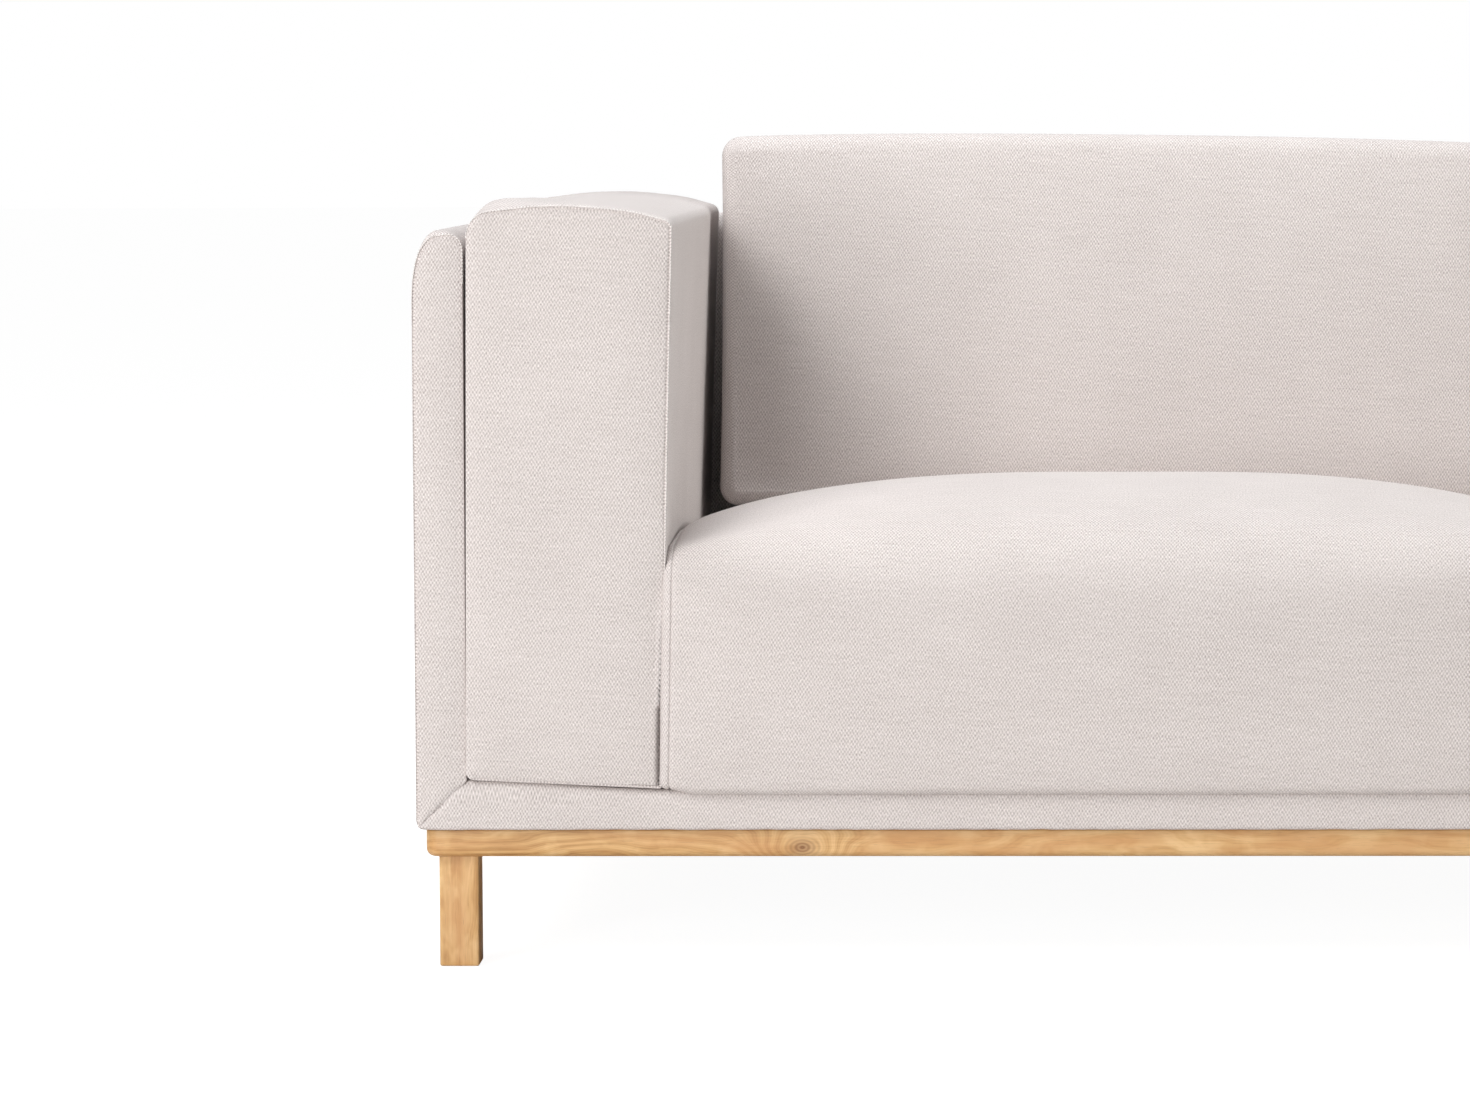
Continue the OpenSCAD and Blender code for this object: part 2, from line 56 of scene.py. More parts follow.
panel_low, panel_high = box("left_panel_cover")
arm_low, arm_high = box("arm_cover_left")
back_low, back_high = box("back_cover")
seat_low, seat_high = box("seat_cushion_cover_left")
rest_low, rest_high = box("back_cushion_cover_left")
band_low, band_high = box("front_band")
HALF = panel_high[1]  # half of the sofa's depth
WIDE = -panel_low[0]  # half of the sofa's width
FRONT = band_low[1]  # face of the front band
INNER = -panel_high[0]  # inner face of an outer side panel


# ---------------------------------------------------------------- mesh tools

class Skin:
    """Points, and quads with a UV in metres at each corner, gathered into one mesh."""

    def __init__(self):
        self.points, self.faces, self.uvs, self.count = [], [], [], 0

    def add(self, points):
        points = np.asarray(points, float)
        flat = points.reshape(-1, 3)
        self.points.append(flat)
        numbers = np.arange(self.count, self.count + len(flat))
        self.count += len(flat)
        return numbers.reshape(points.shape[:-1])

    def quads(self, index, uv):
        def corners(a):
            return np.stack([a[:-1, :-1], a[1:, :-1], a[1:, 1:], a[:-1, 1:]], 2)
        self.faces.append(corners(index).reshape(-1, 4))
        self.uvs.append(corners(uv).reshape(-1, 4, 2) / 1000)

    def made(self, name, *materials):
        mesh = bpy.data.meshes.new(name)
        points = np.concatenate(self.points)
        mesh.from_pydata((points / 1000).tolist(), [], np.concatenate(self.faces).tolist())
        mesh.uv_layers.new(name="weave").data.foreach_set("uv", np.concatenate(self.uvs).ravel())
        work = bmesh.new()
        work.from_mesh(mesh)
        bmesh.ops.recalc_face_normals(work, faces=work.faces)
        work.to_mesh(mesh)
        work.free()
        mesh.polygons.foreach_set("use_smooth", [True] * len(mesh.polygons))
        for material in materials:
            mesh.materials.append(material)
        obj = bpy.data.objects.new(name, mesh)
        bpy.context.scene.collection.objects.link(obj)
        return obj


def along(points):
    """Distance along each point of a line, from its start."""
    return np.concatenate([[0], np.cumsum(np.linalg.norm(np.diff(points, axis=0), axis=1))])


def path_through(corners, step=0.5):
    """A dense line through corners (a, b, radius), each rounded, and the place of each corner's middle on it."""
    given = np.array([c[:2] for c in corners], float)
    line, middles = [], []
    for i, (here, radius) in enumerate(zip(given, [c[2] for c in corners])):
        into = here - given[i - 1]
        out = given[(i + 1) % len(given)] - here
        into, out = into / np.linalg.norm(into), out / np.linalg.norm(out)
        turn = math.acos(np.clip(into @ out, -1, 1))
        if turn < 1e-4:
            middles.append(len(line))
            line.append(here)
            continue
        bisector = (out - into) / np.linalg.norm(out - into)
        centre = here + bisector * radius / math.cos(turn / 2)
        reach = radius * math.tan(turn / 2)
        first, last = here - into * reach - centre, here + out * reach - centre
        pieces = 2 * max(2, int(math.ceil(radius * turn / step / 2)))
        for k in range(pieces + 1):
            if k == pieces // 2:
                middles.append(len(line))
            share = k / pieces
            swung = math.sin((1 - share) * turn) * first + math.sin(share * turn) * last
            line.append(centre + swung / math.sin(turn))
    return np.array(line), middles


def outline(corners, main, rows, cols, bend=50):
    """Resamples a rounded closed outline, clockwise from its low left corner, to rows and cols pieces a side. bend is
    the millimetres that a radian of turning counts for. Returns the points and their inward directions."""
    line, middles = path_through(corners)
    marks = [middles[i] for i in main]
    start = marks[0]
    line = np.roll(line, -start, axis=0)
    marks = [m - start for m in marks] + [len(line)]
    line = np.vstack([line, line[:1]])
    sides = []
    for (a, b), count in zip(zip(marks[:-1], marks[1:]), (rows, cols, rows, cols)):
        part = line[a:b + 1]
        far = along(part)
        fine = np.linspace(0, far[-1], max(400, int(far[-1] * 2)))
        dense = np.stack([np.interp(fine, far, part[:, k]) for k in (0, 1)], 1)
        way = np.gradient(dense, axis=0)
        angle = np.unwrap(np.arctan2(way[:, 1], way[:, 0]))
        cost = fine + bend * np.concatenate([[0], np.cumsum(np.abs(np.diff(angle)))])
        at = np.interp(np.linspace(0, cost[-1], count + 1)[:-1], cost, fine)
        sides.append(np.stack([np.interp(at, fine, dense[:, k]) for k in (0, 1)], 1))
    ring = np.concatenate(sides)
    way = np.roll(ring, -1, axis=0) - np.roll(ring, 1, axis=0)
    way /= np.linalg.norm(way, axis=1)[:, None]
    return ring, np.stack([way[:, 1], -way[:, 0]], 1)


def coons(ring, rows, cols):
    """Fills a closed ring of 2 * (rows + cols) values with a grid of rows + 1 by cols + 1."""
    left = ring[:rows + 1]
    top = ring[rows:rows + cols + 1]
    right = ring[rows + cols:2 * rows + cols + 1][::-1]
    bottom = np.concatenate([ring[2 * rows + cols:], ring[:1]])[::-1]

    def share(a, b):
        a, b = along(a), along(b)
        return (a / a[-1] + b / b[-1]) / 2
    s, t = share(top, bottom)[None, :, None], share(left, right)[:, None, None]
    corner = ((1 - s) * (1 - t) * left[0] + s * (1 - t) * right[0] + (1 - s) * t * left[-1] + s * t * right[-1])
    return ((1 - s) * left[:, None] + s * right[:, None] + (1 - t) * bottom[None] + t * top[None]) - corner


def grid_index(skin, ring_index, inner, rows, cols):
    """Point numbers of a cap: the ring's own on the border, new ones inside."""
    index = np.zeros((rows + 1, cols + 1), int)
    index[1:-1, 1:-1] = skin.add(inner[1:-1, 1:-1])
    index[:, 0] = ring_index[:rows + 1]
    index[-1, :] = ring_index[rows:rows + cols + 1]
    index[:, -1] = ring_index[rows + cols:2 * rows + cols + 1][::-1]
    index[0, :] = np.concatenate([ring_index[2 * rows + cols:], ring_index[:1]])[::-1]
    return index


def ring_uv(rings, turned):
    """UVs of a tube of rings: round the widest ring one way, along the tube the other. turned swaps the two."""
    widest = rings[len(rings) // 2]
    across = along(np.vstack([widest, widest[:1]]))
    gap = np.linalg.norm(np.diff(rings, axis=0), axis=2).mean(axis=1)
    down = np.concatenate([[0], np.cumsum(gap)])
    uv = np.stack(np.broadcast_arrays(across[None, :], down[:, None]), 2)
    return uv[..., ::-1] if turned else uv


def smooth(x, low, high):
    """0 below low and 1 above high, with an easy rise between."""
    t = np.clip((x - low) / (high - low), 0, 1)
    return t * t * (3 - 2 * t)


def ripple(points, seed, length, waves=7):
    """Soft noise from -1 to 1 that changes over about length millimetres."""
    draw = np.random.RandomState(seed)
    total = np.zeros(points.shape[:-1])
    for _ in range(waves):
        way = draw.normal(size=3)
        way *= 2 * math.pi / length / np.linalg.norm(way) * draw.uniform(0.6, 1.5)
        total += np.sin(points @ way + draw.uniform(0, 2 * math.pi))
    return total / waves ** 0.5 / 1.6


def body_of_rings(rings, rows, cols, puff=(0, 0), turned=False):
    """A closed skin from rings (count, 2 * (rows + cols), 3), capped at both ends."""
    skin = Skin()
    index = skin.add(rings)
    skin.quads(np.concatenate([index, index[:, :1]], 1), ring_uv(rings, turned))
    for end in (0, -1):
        inner = coons(rings[end], rows, cols)
        if callable(puff[end]):
            inner = puff[end](inner)
        spread = inner.reshape(-1, 3).max(0) - inner.reshape(-1, 3).min(0)
        flat = sorted(np.argsort(spread)[1:])
        skin.quads(grid_index(skin, index[end], inner, rows, cols), inner[..., flat])
    return skin


def rim(radius):
    """(inset, depth) pairs round a quarter circle, from the side to the face."""
    turns = [math.radians(d) for d in (0, 12, 25, 38, 51, 64, 77)]
    return [(radius * (1 - math.cos(t)), radius * (1 - math.sin(t))) for t in turns]


# (share of the seam's inset, extra inset, depth): the front panel's border, the seam's groove and its lip
SEAM = ((1, 2.6, 0.1), (1, 1.7, 0.7), (1, 1.0, 1.5), (1, 0.4, 1.5), (1, -0.1, 0.7), (0.86, 0, 0.6), (0.72, 0, 1.1))
STITCHED = 5  # the place in SEAM that the stitches follow


def front_sections(ring, inward, seam_inset, front_y, swell, groove=1.0):
    """Rings of a cover from its front seam backwards, for an outline in X and Z, swelling to the outline over swell
    millimetres. groove weakens the seam where it is under 1."""
    rings = []
    for share, extra, deep in SEAM:
        flat = ring + inward * (seam_inset * share + extra * groove)[:, None]
        rings.append(np.insert(flat, 1, front_y + deep * groove, axis=1))
    for t in (0.2, 0.4, 0.6, 0.8, 1):
        flat = ring + inward * (seam_inset * SEAM[-1][0] * (1 - math.sin(t * math.pi / 2)))[:, None]
        deep = SEAM[-1][2] * groove + swell * (1 - math.cos(t * math.pi / 2)) + 2 * t
        rings.append(np.insert(flat, 1, front_y + deep, axis=1))
    return rings


def beads(name, material, path, outward, gap=2.6, size=(0.95, 0.5, 0.42)):
    """Small stitches in a row along a path of points, each an ellipsoid that stands on the cloth."""
    far = along(path)
    count = int(far[-1] / gap)
    skin = Skin()
    for k in range(count):
        at = (k + 0.5) / count * far[-1]
        here = np.array([np.interp(at, far, path[:, i]) for i in range(3)])
        ahead = np.array([np.interp(min(at + 0.5, far[-1]), far, path[:, i]) for i in range(3)]) - here
        up = np.array([np.interp(at, far, outward[:, i]) for i in range(3)])
        ahead /= np.linalg.norm(ahead) + 1e-9
        up -= ahead * (up @ ahead)
        up /= np.linalg.norm(up) + 1e-9
        side = np.cross(ahead, up)
        rings = []
        for turn in (-75, -40, 0, 40, 75):
            t = math.radians(turn)
            middle = here + ahead * size[0] * math.sin(t)
            rings.append([middle + math.cos(t) * (side * size[1] * math.cos(a) + up * size[2] * math.sin(a))
                          for a in np.linspace(0, 2 * math.pi, 7)[:-1]])
        rings = np.array(rings)
        index = skin.add(rings)
        closed = np.concatenate([index, index[:, :1]], 1)
        skin.quads(closed, np.zeros(closed.shape + (2,)) + (at, 0))
        for end in (index[0], index[-1]):
            skin.quads(np.array([[end[0], end[1], end[2]], [end[5], end[4], end[3]]]), np.zeros((2, 3, 2)) + (at, 0))
    return skin.made(name, material)


# ---------------------------------------------------------------- materials

def node_of(tree, kind, sockets=None, **settings):
    made = tree.nodes.new(kind)
    for key, value in settings.items():
        setattr(made, key, value)
    for key, value in (sockets or {}).items():
        if isinstance(value, bpy.types.NodeSocket):
            tree.links.new(value, made.inputs[key])
        else:
            made.inputs[key].default_value = value
    return made


class Paint:
    """A material's node tree, with short names for the nodes that are used most."""

    def __init__(self, name, roughness=0.8, **shader):
        self.material = bpy.data.materials.new(name)
        self.material.use_nodes = True
        self.tree = self.material.node_tree
        self.shader = self.tree.nodes["Principled BSDF"]
        self.shader.inputs["Roughness"].default_value = roughness
        for key, value in shader.items():
            self.shader.inputs[key.replace("_", " ")].default_value = value

    def add(self, kind, sockets=None, **settings):
        return node_of(self.tree, "ShaderNode" + kind, sockets, **settings)

    def math(self, operation, a, b=0.0, c=0.0):
        return self.add("Math", {0: a, 1: b, 2: c}, operation=operation).outputs[0]

    def noise(self, vector, sizes, detail=2.0, rough=0.5):
        """Noise from 0 to 1, with sizes features in a metre along each axis."""
        vector = self.add("VectorMath", {0: vector, 1: sizes}, operation="MULTIPLY").outputs[0]
        made = self.add("TexNoise", {"Vector": vector, "Scale": 1.0, "Detail": detail, "Roughness": rough})
        return made.outputs["Fac"]

    def varied(self, value, noise, amount):
        """A value moved up and down by a noise from 0 to 1."""
        return self.math("ADD", value, self.math("MULTIPLY", self.math("SUBTRACT", noise, 0.5), amount))

    def bell(self, value, width, power=2.0, fall=1.0):
        """1 where value is 0, and falling away over about width."""
        share = self.math("POWER", self.math("DIVIDE", value, width), power)
        return self.math("EXPONENT", self.math("MULTIPLY", share, -fall))

    def stepped(self, value, low, high, start, end):
        """Moves a value's range from low and high to start and end."""
        return self.add("MapRange", {"Value": value, 1: low, 2: high, 3: start, 4: end}).outputs[0]

    def ramp(self, value, *stops):
        made = self.add("ValToRGB", {"Fac": value})
        band = made.color_ramp
        for place, colour in stops[2:]:
            band.elements.new(place)
        for element, (place, colour) in zip(band.elements, sorted(stops)):
            element.position = place
            element.color = (*colour, 1)
        return made.outputs["Color"]

    def mix(self, share, a, b, kind="MIX"):
        made = self.add("Mix", {}, data_type="RGBA", blend_type=kind)
        for place, value in ((0, share), (6, a), (7, b)):
            if isinstance(value, bpy.types.NodeSocket):
                self.tree.links.new(value, made.inputs[place])
            else:
                made.inputs[place].default_value = (*value, 1) if isinstance(value, tuple) else value
        return made.outputs[2]

    def colour(self, socket):
        self.tree.links.new(socket, self.shader.inputs["Base Color"])

    def rough(self, socket):
        self.tree.links.new(socket, self.shader.inputs["Roughness"])

    def bump(self, height, strength, distance):
        made = self.add("Bump", {"Height": height, "Strength": strength, "Distance": distance})
        self.tree.links.new(made.outputs[0], self.shader.inputs["Normal"])


def fabric(name, dark, light, thread=(0.0015, 0.00235), axes=None, contrast=0.29, fleck=0.6, relief=0.0002):
    """A basket weave with mixed threads. It follows the mesh's UVs in metres, or with axes two object axes."""
    paint = Paint(name, 0.92, Specular_IOR_Level=0.25, Sheen_Weight=0.08, Sheen_Roughness=0.4)
    source = paint.add("TexCoord").outputs["UV" if axes is None else "Object"]
    if axes is not None:
        parts = paint.add("SeparateXYZ", {0: source}).outputs
        source = paint.add("CombineXYZ", {0: parts[axes[0]], 1: parts[axes[1]]}).outputs[0]
    turned = paint.add("Mapping", {"Vector": source, "Rotation": (0, 0, math.radians(2.5))}).outputs[0]
    wobble = paint.add("TexNoise", {"Vector": turned, "Scale": 60.0, "Detail": 1.0}).outputs["Color"]
    wobble = paint.add("VectorMath", {0: wobble, 1: (0.5, 0.5, 0.5)}, operation="SUBTRACT").outputs[0]
    wobble = paint.add("VectorMath", {0: wobble, 3: 0.0011}, operation="SCALE").outputs[0]
    cloth = paint.add("VectorMath", {0: turned, 1: wobble}, operation="ADD").outputs[0]
    u, v = paint.add("SeparateXYZ", {0: cloth}).outputs[:2]
    across = paint.math("SINE", paint.math("MULTIPLY", u, math.pi / thread[0]))
    down = paint.math("SINE", paint.math("MULTIPLY", v, math.pi / thread[1]))
    weave = paint.math("MULTIPLY", across, down)
    flecks = paint.noise(cloth, (1.1 / thread[0], 1.1 / thread[1], 1), 2.0, 0.65)
    slubs = paint.noise(cloth, (22, 260, 1), 1.0)
    tone = paint.noise(cloth, (9, 9, 9))
    value = paint.math("MULTIPLY_ADD", weave, contrast, 0.5)
    for noise, amount in ((flecks, fleck * 2), (slubs, 0.14), (tone, 0.11)):
        value = paint.varied(value, noise, amount)
    middle = tuple((d + l) / 2 for d, l in zip(dark, light))
    paint.colour(paint.ramp(value, (0.0, dark), (1.0, light), (0.5, middle)))
    paint.bump(paint.math("ADD", weave, paint.math("MULTIPLY", flecks, 1.2)), 0.7, relief)
    return paint.material


def wood(name, axis, pale, mid, deep, knots=(), pores=0.5, rings=0.011, gloss=0.42, painted_light_span=None):
    """Sawn wood with its grain along one object axis. knots are (along, up, size) in metres, and the last argument is
    the places along it where it starts and ends to turn lighter: painted light that evens out the lamps' falloff
    towards +X."""
    paint = Paint(name, roughness=gloss, Specular_IOR_Level=0.4, Coat_Weight=0.08, Coat_Roughness=0.35)
    source = paint.add("TexCoord").outputs["Object"]
    order = {"x": (0, 1, 2), "y": (1, 0, 2), "z": (2, 0, 1)}[axis]
    parts = paint.add("SeparateXYZ", {0: source}).outputs
    p = paint.add("CombineXYZ", {k: parts[order[k]] for k in range(3)}).outputs[0]
    s, a, b = paint.add("SeparateXYZ", {0: p}).outputs

    # growth rings, which bend round each knot
    field = paint.math("ADD", paint.math("MULTIPLY", b, 0.9), paint.math("MULTIPLY", a, 0.35))
    field = paint.varied(field, paint.noise(p, (3.5, 14, 14), 3.0, 0.55), 0.1)
    heart = 0.0
    for place, up, size in knots:
        away = paint.math("MULTIPLY", paint.math("SUBTRACT", s, place), 0.62)
        high = paint.math("SUBTRACT", b, up)
        near = paint.math("ADD", paint.math("POWER", away, 2.0), paint.math("POWER", high, 2.0))
        near = paint.math("SQRT", near)
        share = paint.bell(near, size, fall=0.7)
        field = paint.math("ADD", paint.math("MULTIPLY", field, paint.math("SUBTRACT", 1.0, share)),
                           paint.math("MULTIPLY", paint.math("MULTIPLY", near, 1.7), share))
        core = paint.math("MULTIPLY", paint.bell(near, size * 0.33), 0.75)
        turns = paint.math("SINE", paint.math("MULTIPLY", near, 2 * math.pi / (size * 0.17)))
        turns = paint.math("MULTIPLY_ADD", turns, 0.2, 0.22)
        core = paint.math("ADD", core, paint.math("MULTIPLY", paint.bell(near, size * 0.62, 4.0), turns))
        heart = paint.math("ADD", core, heart)
    bands = paint.math("SINE", paint.math("MULTIPLY", field, 2 * math.pi / rings))
    fine = paint.math("SINE", paint.math("MULTIPLY", field, 2 * math.pi / (rings * 0.23)))

    # tone, from deep to pale: the oak's own figure, with painted sheen in the brighter patches and painted light along
    # the grain
    value = paint.math("MULTIPLY_ADD", bands, 0.15, 0.5)
    value = paint.math("ADD", value, paint.math("MULTIPLY", fine, 0.06))
    # brighter patches: partly the oak's own figure, partly painted sheen
    figure_and_sheen = paint.noise(p, (26, 34, 34), 3.0, 0.6)
    value = paint.math("ADD", value, paint.stepped(figure_and_sheen, 0.5, 0.68, 0.0, 0.34))
    streaks = paint.noise(p, (9, 420, 420), 3.0, 0.6)
    broad, curl = paint.noise(p, (2.2, 45, 45)), paint.noise(p, (38, 60, 60))
    for noise, amount in ((streaks, 0.62), (broad, 0.8), (curl, 0.45)):
        value = paint.varied(value, noise, amount)
    # painted light: the wood turns lighter towards +X, making up for the lamps' falloff there
    if painted_light_span:
        value = paint.math("ADD", value, paint.stepped(s, *painted_light_span, -0.06, 0.24))
    colour = paint.ramp(value, (0.08, deep), (0.92, pale), (0.5, mid))

    # reddish patches, knots and pores
    blush = paint.stepped(paint.noise(p, (9, 42, 42), 3.0), 0.45, 0.66, 0.0, 0.6)
    colour = paint.mix(blush, colour, (mid[0] * 0.93, mid[1] * 0.8, mid[2] * 0.78))
    if knots:
        dark = (deep[0] * 0.55, deep[1] * 0.45, deep[2] * 0.5)
        colour = paint.mix(paint.math("MULTIPLY", heart, 0.8), colour, dark)
    pore = paint.math("GREATER_THAN", paint.noise(p, (60, 2200, 2200), 1.0), 0.66)
    pore = paint.math("MULTIPLY", pore, pores)
    colour = paint.mix(paint.math("MULTIPLY", pore, 0.5), colour, tuple(c * 0.62 for c in deep))
    paint.colour(colour)
    paint.rough(paint.math("MULTIPLY_ADD", streaks, 0.22, gloss - 0.08))
    paint.bump(paint.math("SUBTRACT", streaks, pore), 0.25, 0.0002)
    return paint.material


def metal(name, colour, roughness, brushed=(900, 60, 900)):
    paint = Paint(name, roughness=roughness, Metallic=1.0)
    source = paint.add("TexCoord").outputs["Object"]
    lines = paint.noise(source, brushed, 3.0)
    paint.colour(paint.ramp(lines, (0.25, tuple(c * 0.8 for c in colour)), (0.75, colour)))
    paint.rough(paint.math("MULTIPLY_ADD", lines, 0.25, roughness - 0.1))
    paint.bump(lines, 0.15, 0.0001)
    return paint.material


def plastic(name, colour, roughness):
    paint = Paint(name, roughness=roughness)
    source = paint.add("TexCoord").outputs["Object"]
    grain = paint.noise(source, (1400, 1400, 1400))
    wear = paint.noise(source, (90, 90, 90))
    paint.colour(paint.ramp(wear, (0.2, tuple(c * 0.85 for c in colour)), (0.8, colour)))
    paint.rough(paint.math("MULTIPLY_ADD", wear, 0.2, roughness - 0.1))
    paint.bump(grain, 0.2, 0.0001)
    return paint.material


UPHOLSTERY = fabric("upholstery_fabric", (0.33, 0.28, 0.265), (0.87, 0.81, 0.785))
THREAD = fabric("seam_thread", (0.62, 0.57, 0.54), (0.98, 0.94, 0.92), (0.0004, 0.0004), (0, 2), relief=0.0001)
LINING = fabric("lining_cloth", (0.46, 0.42, 0.38), (0.68, 0.64, 0.59), (0.0007, 0.0007), contrast=0.3, fleck=0.3)
BLACK = fabric("black_cloth", (0.006, 0.006, 0.007), (0.035, 0.035, 0.038), (0.0012, 0.0012), contrast=0.2, fleck=0.9)
STRAP = {"dark": (0.02, 0.02, 0.022), "light": (0.1, 0.1, 0.11), "thread": (0.0022, 0.0016), "contrast": 0.5,
         "relief": 0.0008}
WEBBING = fabric("webbing", axes=(0, 1), **STRAP)
WEBBING_UP = fabric("webbing_upright", axes=(0, 2), **STRAP)
ZIP = fabric("zip_tape", (0.40, 0.36, 0.33), (0.66, 0.60, 0.56), (0.0008, 0.0006), (0, 2), contrast=0.3, fleck=0.3)
OAK_TONES = ((0.75, 0.49, 0.235), (0.60, 0.345, 0.135), (0.37, 0.17, 0.05))
PINE_TONES = ((0.85, 0.7, 0.45), (0.78, 0.6, 0.36), (0.62, 0.42, 0.2))
# the oak rails along X carry painted light, lighter towards +X where the lamps fall off
OAK_X = wood("oak_along_x", "x", *OAK_TONES, knots=((-0.708, 0.1088, 0.017),), painted_light_span=(-1.0, -0.3))
OAK_Y = wood("oak_along_y", "y", *OAK_TONES)
OAK_Z = wood("oak_along_z", "z", *OAK_TONES)
BEECH = wood("beech_dowel", "y", (0.78, 0.6, 0.4), (0.72, 0.53, 0.34), (0.6, 0.42, 0.25))
PINE_X = wood("frame_timber_x", "x", *PINE_TONES, rings=0.016)
PINE_Y = wood("frame_timber_y", "y", *PINE_TONES, rings=0.016)
PLY = wood("plywood", "y", (0.78, 0.62, 0.42), (0.7, 0.53, 0.33), (0.55, 0.38, 0.22), rings=0.03, pores=0.3)
STEEL = metal("steel", (0.62, 0.63, 0.65), 0.35)
NYLON = plastic("nylon", (0.6, 0.6, 0.58), 0.55)

pieces = []
FOUR = (0, 1, 2, 3)  # all the corners of an outline with four


def keep(obj, body, stands_for=()):
    """Puts a finished piece on its body and the CAD nodes that it stands for."""
    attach(obj, body)
    if stands_for:
        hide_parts(*stands_for)
    pieces.append(obj)
    return obj


def mirrored(obj, name):
    """A copy of obj on the other side of the sofa."""
    mesh = obj.data.copy()
    mesh.name = name
    count = len(mesh.vertices)
    co = np.zeros(count * 3)
    mesh.vertices.foreach_get("co", co)
    co = co.reshape(-1, 3) * (-1, 1, 1)
    mesh.vertices.foreach_set("co", co.ravel())
    mesh.flip_normals()
    made = bpy.data.objects.new(name, mesh)
    bpy.context.scene.collection.objects.link(made)
    return made


# ---------------------------------------------------------------- plinth

def plan(low, high, front, back=None):
    """Corners of a rectangle from above, with the radii at its low Y and at its high Y."""
    back = front if back is None else back
    return [(low[0], low[1], front), (low[0], high[1], back), (high[0], high[1], back), (high[0], low[1], front)]


def prism(ring, inward, rounding, rows, cols, levels):
    """A body whose plan outline is stacked up Z, by (inset, height) levels. rounding weights each point's inset."""
    rings = []
    for inset, height in levels:
        flat = ring + inward * rounding[:, None] * inset
        rings.append(np.insert(flat, 2, height, axis=1))
    return body_of_rings(np.array(rings), rows, cols)


def rail_levels(low, high, foot=7, head=2.5):
    """(inset, height) up a rail whose lower and upper edges are rounded by foot and head."""
    levels = [(i, low + d) for i, d in reversed(rim(foot))]
    middle = [(0, z) for z in np.linspace(low + foot, high - head, 5)[1:-1]]
    return levels + middle + [(i, high - d) for i, d in rim(head)]


def end_rail(name, node):
    """The front or rear rail: its outer corners are round, and its inner face is flush."""
    low, high = box(node)
    rows, cols = 10, 150
    out = -1 if low[1] < 0 else 1
    flush = high[1] if out < 0 else low[1]
    r_front, r_back = (12, 0.6) if out < 0 else (0.6, 12)
    ring, inward = outline(plan(low, high, r_front, r_back), FOUR, rows, cols)
    free = 1.0 * (np.abs(ring[:, 1] - flush) > 1)
    skin = prism(ring, inward, free, rows, cols, rail_levels(low[2], high[2]))
    return keep(skin.made(name, OAK_X), "root", [node])


def side_rail(name, node):
    """A side rail, butted between the end rails and rounded only on its outer face."""
    low, high = box(node)
    rows, cols = 60, 10
    ring, inward = outline(plan(low, high, 0.5), FOUR, rows, cols)
    outer = low[0] if low[0] < 0 else high[0]
    free = 1.0 * (np.abs(ring[:, 0] - outer) < 0.6)
    inward = np.where(free[:, None] > 0, np.array([-np.sign(outer), 0.0]), inward)
    skin = prism(ring, inward, free, rows, cols, rail_levels(low[2], high[2]))
    return keep(skin.made(name, OAK_Y), "root", [node])


for build, rails in ((end_rail, ("front_rail", "rear_rail")), (side_rail, ("left_rail", "right_rail"))):
    for rail in rails:
        build(rail + "_oak", rail)

for leg in ("front_left", "front_right", "rear_left", "rear_right", "centre"):
    low, high = box("leg_" + leg)
    ring, inward = outline(plan(low, high, 2.2), FOUR, 12, 12, bend=12)
    levels = [(1.2, low[2]), (0.5, low[2] + 0.4), (0, low[2] + 1.4)]
    levels += [(0, z) for z in np.linspace(low[2] + 5, high[2] - 1, 14)] + [(0, high[2])]
    skin = prism(ring, inward, np.ones(len(ring)), 12, 12, levels)
    keep(skin.made("leg_" + leg + "_oak", OAK_Z), "root", ["leg_" + leg])


# ---------------------------------------------------------------- outer shell and front band

MITRE = 0.957  # rise of the sewn mitre between an outer panel's front and the band, for each millimetre inwards


TAPER = 60  # height of an outer panel's pointed top
CORNER = 8  # radius of the shell's upright rear corners


def pointed(flat, middle, half):
    """Draws the outer half of a round-topped outline in to a taller shoulder."""
    flat = flat.copy()
    top = panel_high[2]
    rise = np.clip((flat[:, 1] - top + TAPER) / TAPER, 0, 1)
    arc = np.clip((flat[:, 1] - top + abs(half)) / abs(half), 0, 1)
    ratio = np.sqrt((1 - rise ** 2 + 1e-4) / (1 - arc ** 2 + 1e-4 * TAPER / abs(half)))
    outer = (flat[:, 0] - middle) * half < 0
    flat[:, 0] = middle + (flat[:, 0] - middle) * np.where(outer, np.minimum(ratio, 1), 1)
    return flat


panel_middle, panel_half = -(WIDE + INNER) / 2, (WIDE - INNER) / 2
panel_corners = [(-WIDE, panel_low[2], 9), (-WIDE, panel_high[2], 22.9),
                 (-INNER, panel_high[2], 18), (-INNER, panel_low[2], 1.5)]
rows, cols = 64, 10
ring, inward = outline(panel_corners, FOUR, rows, cols, bend=14)
ring = pointed(ring, panel_middle, panel_half)
mitred_corners = [(-WIDE + 2.6, panel_low[2] + 2.6, 0.8), (-WIDE, panel_low[2] + 8.5, 9), *panel_corners[1:3],
                  (-INNER, panel_low[2] + (WIDE - INNER) * MITRE, 1.5)]
front_ring, front_inward = outline(mitred_corners, (0, 2, 3, 4), rows, cols, bend=14)
front_ring = pointed(front_ring, panel_middle, panel_half)
up, right = front_inward[:, 1], front_inward[:, 0]
facing_arm, facing_foot = np.clip(-right * 1.2, 0, 1), np.clip(up * 1.6, 0, 1)
seam_inset = (1.7 + 3.6 * np.clip(-up, 0, 1) ** 1.5) * (1 - 0.9 * facing_arm) * (1 - facing_foot)
seam_groove = 1 - 0.85 * np.maximum(facing_arm, facing_foot)
rings = front_sections(front_ring, front_inward, seam_inset, FRONT, 16, seam_groove)
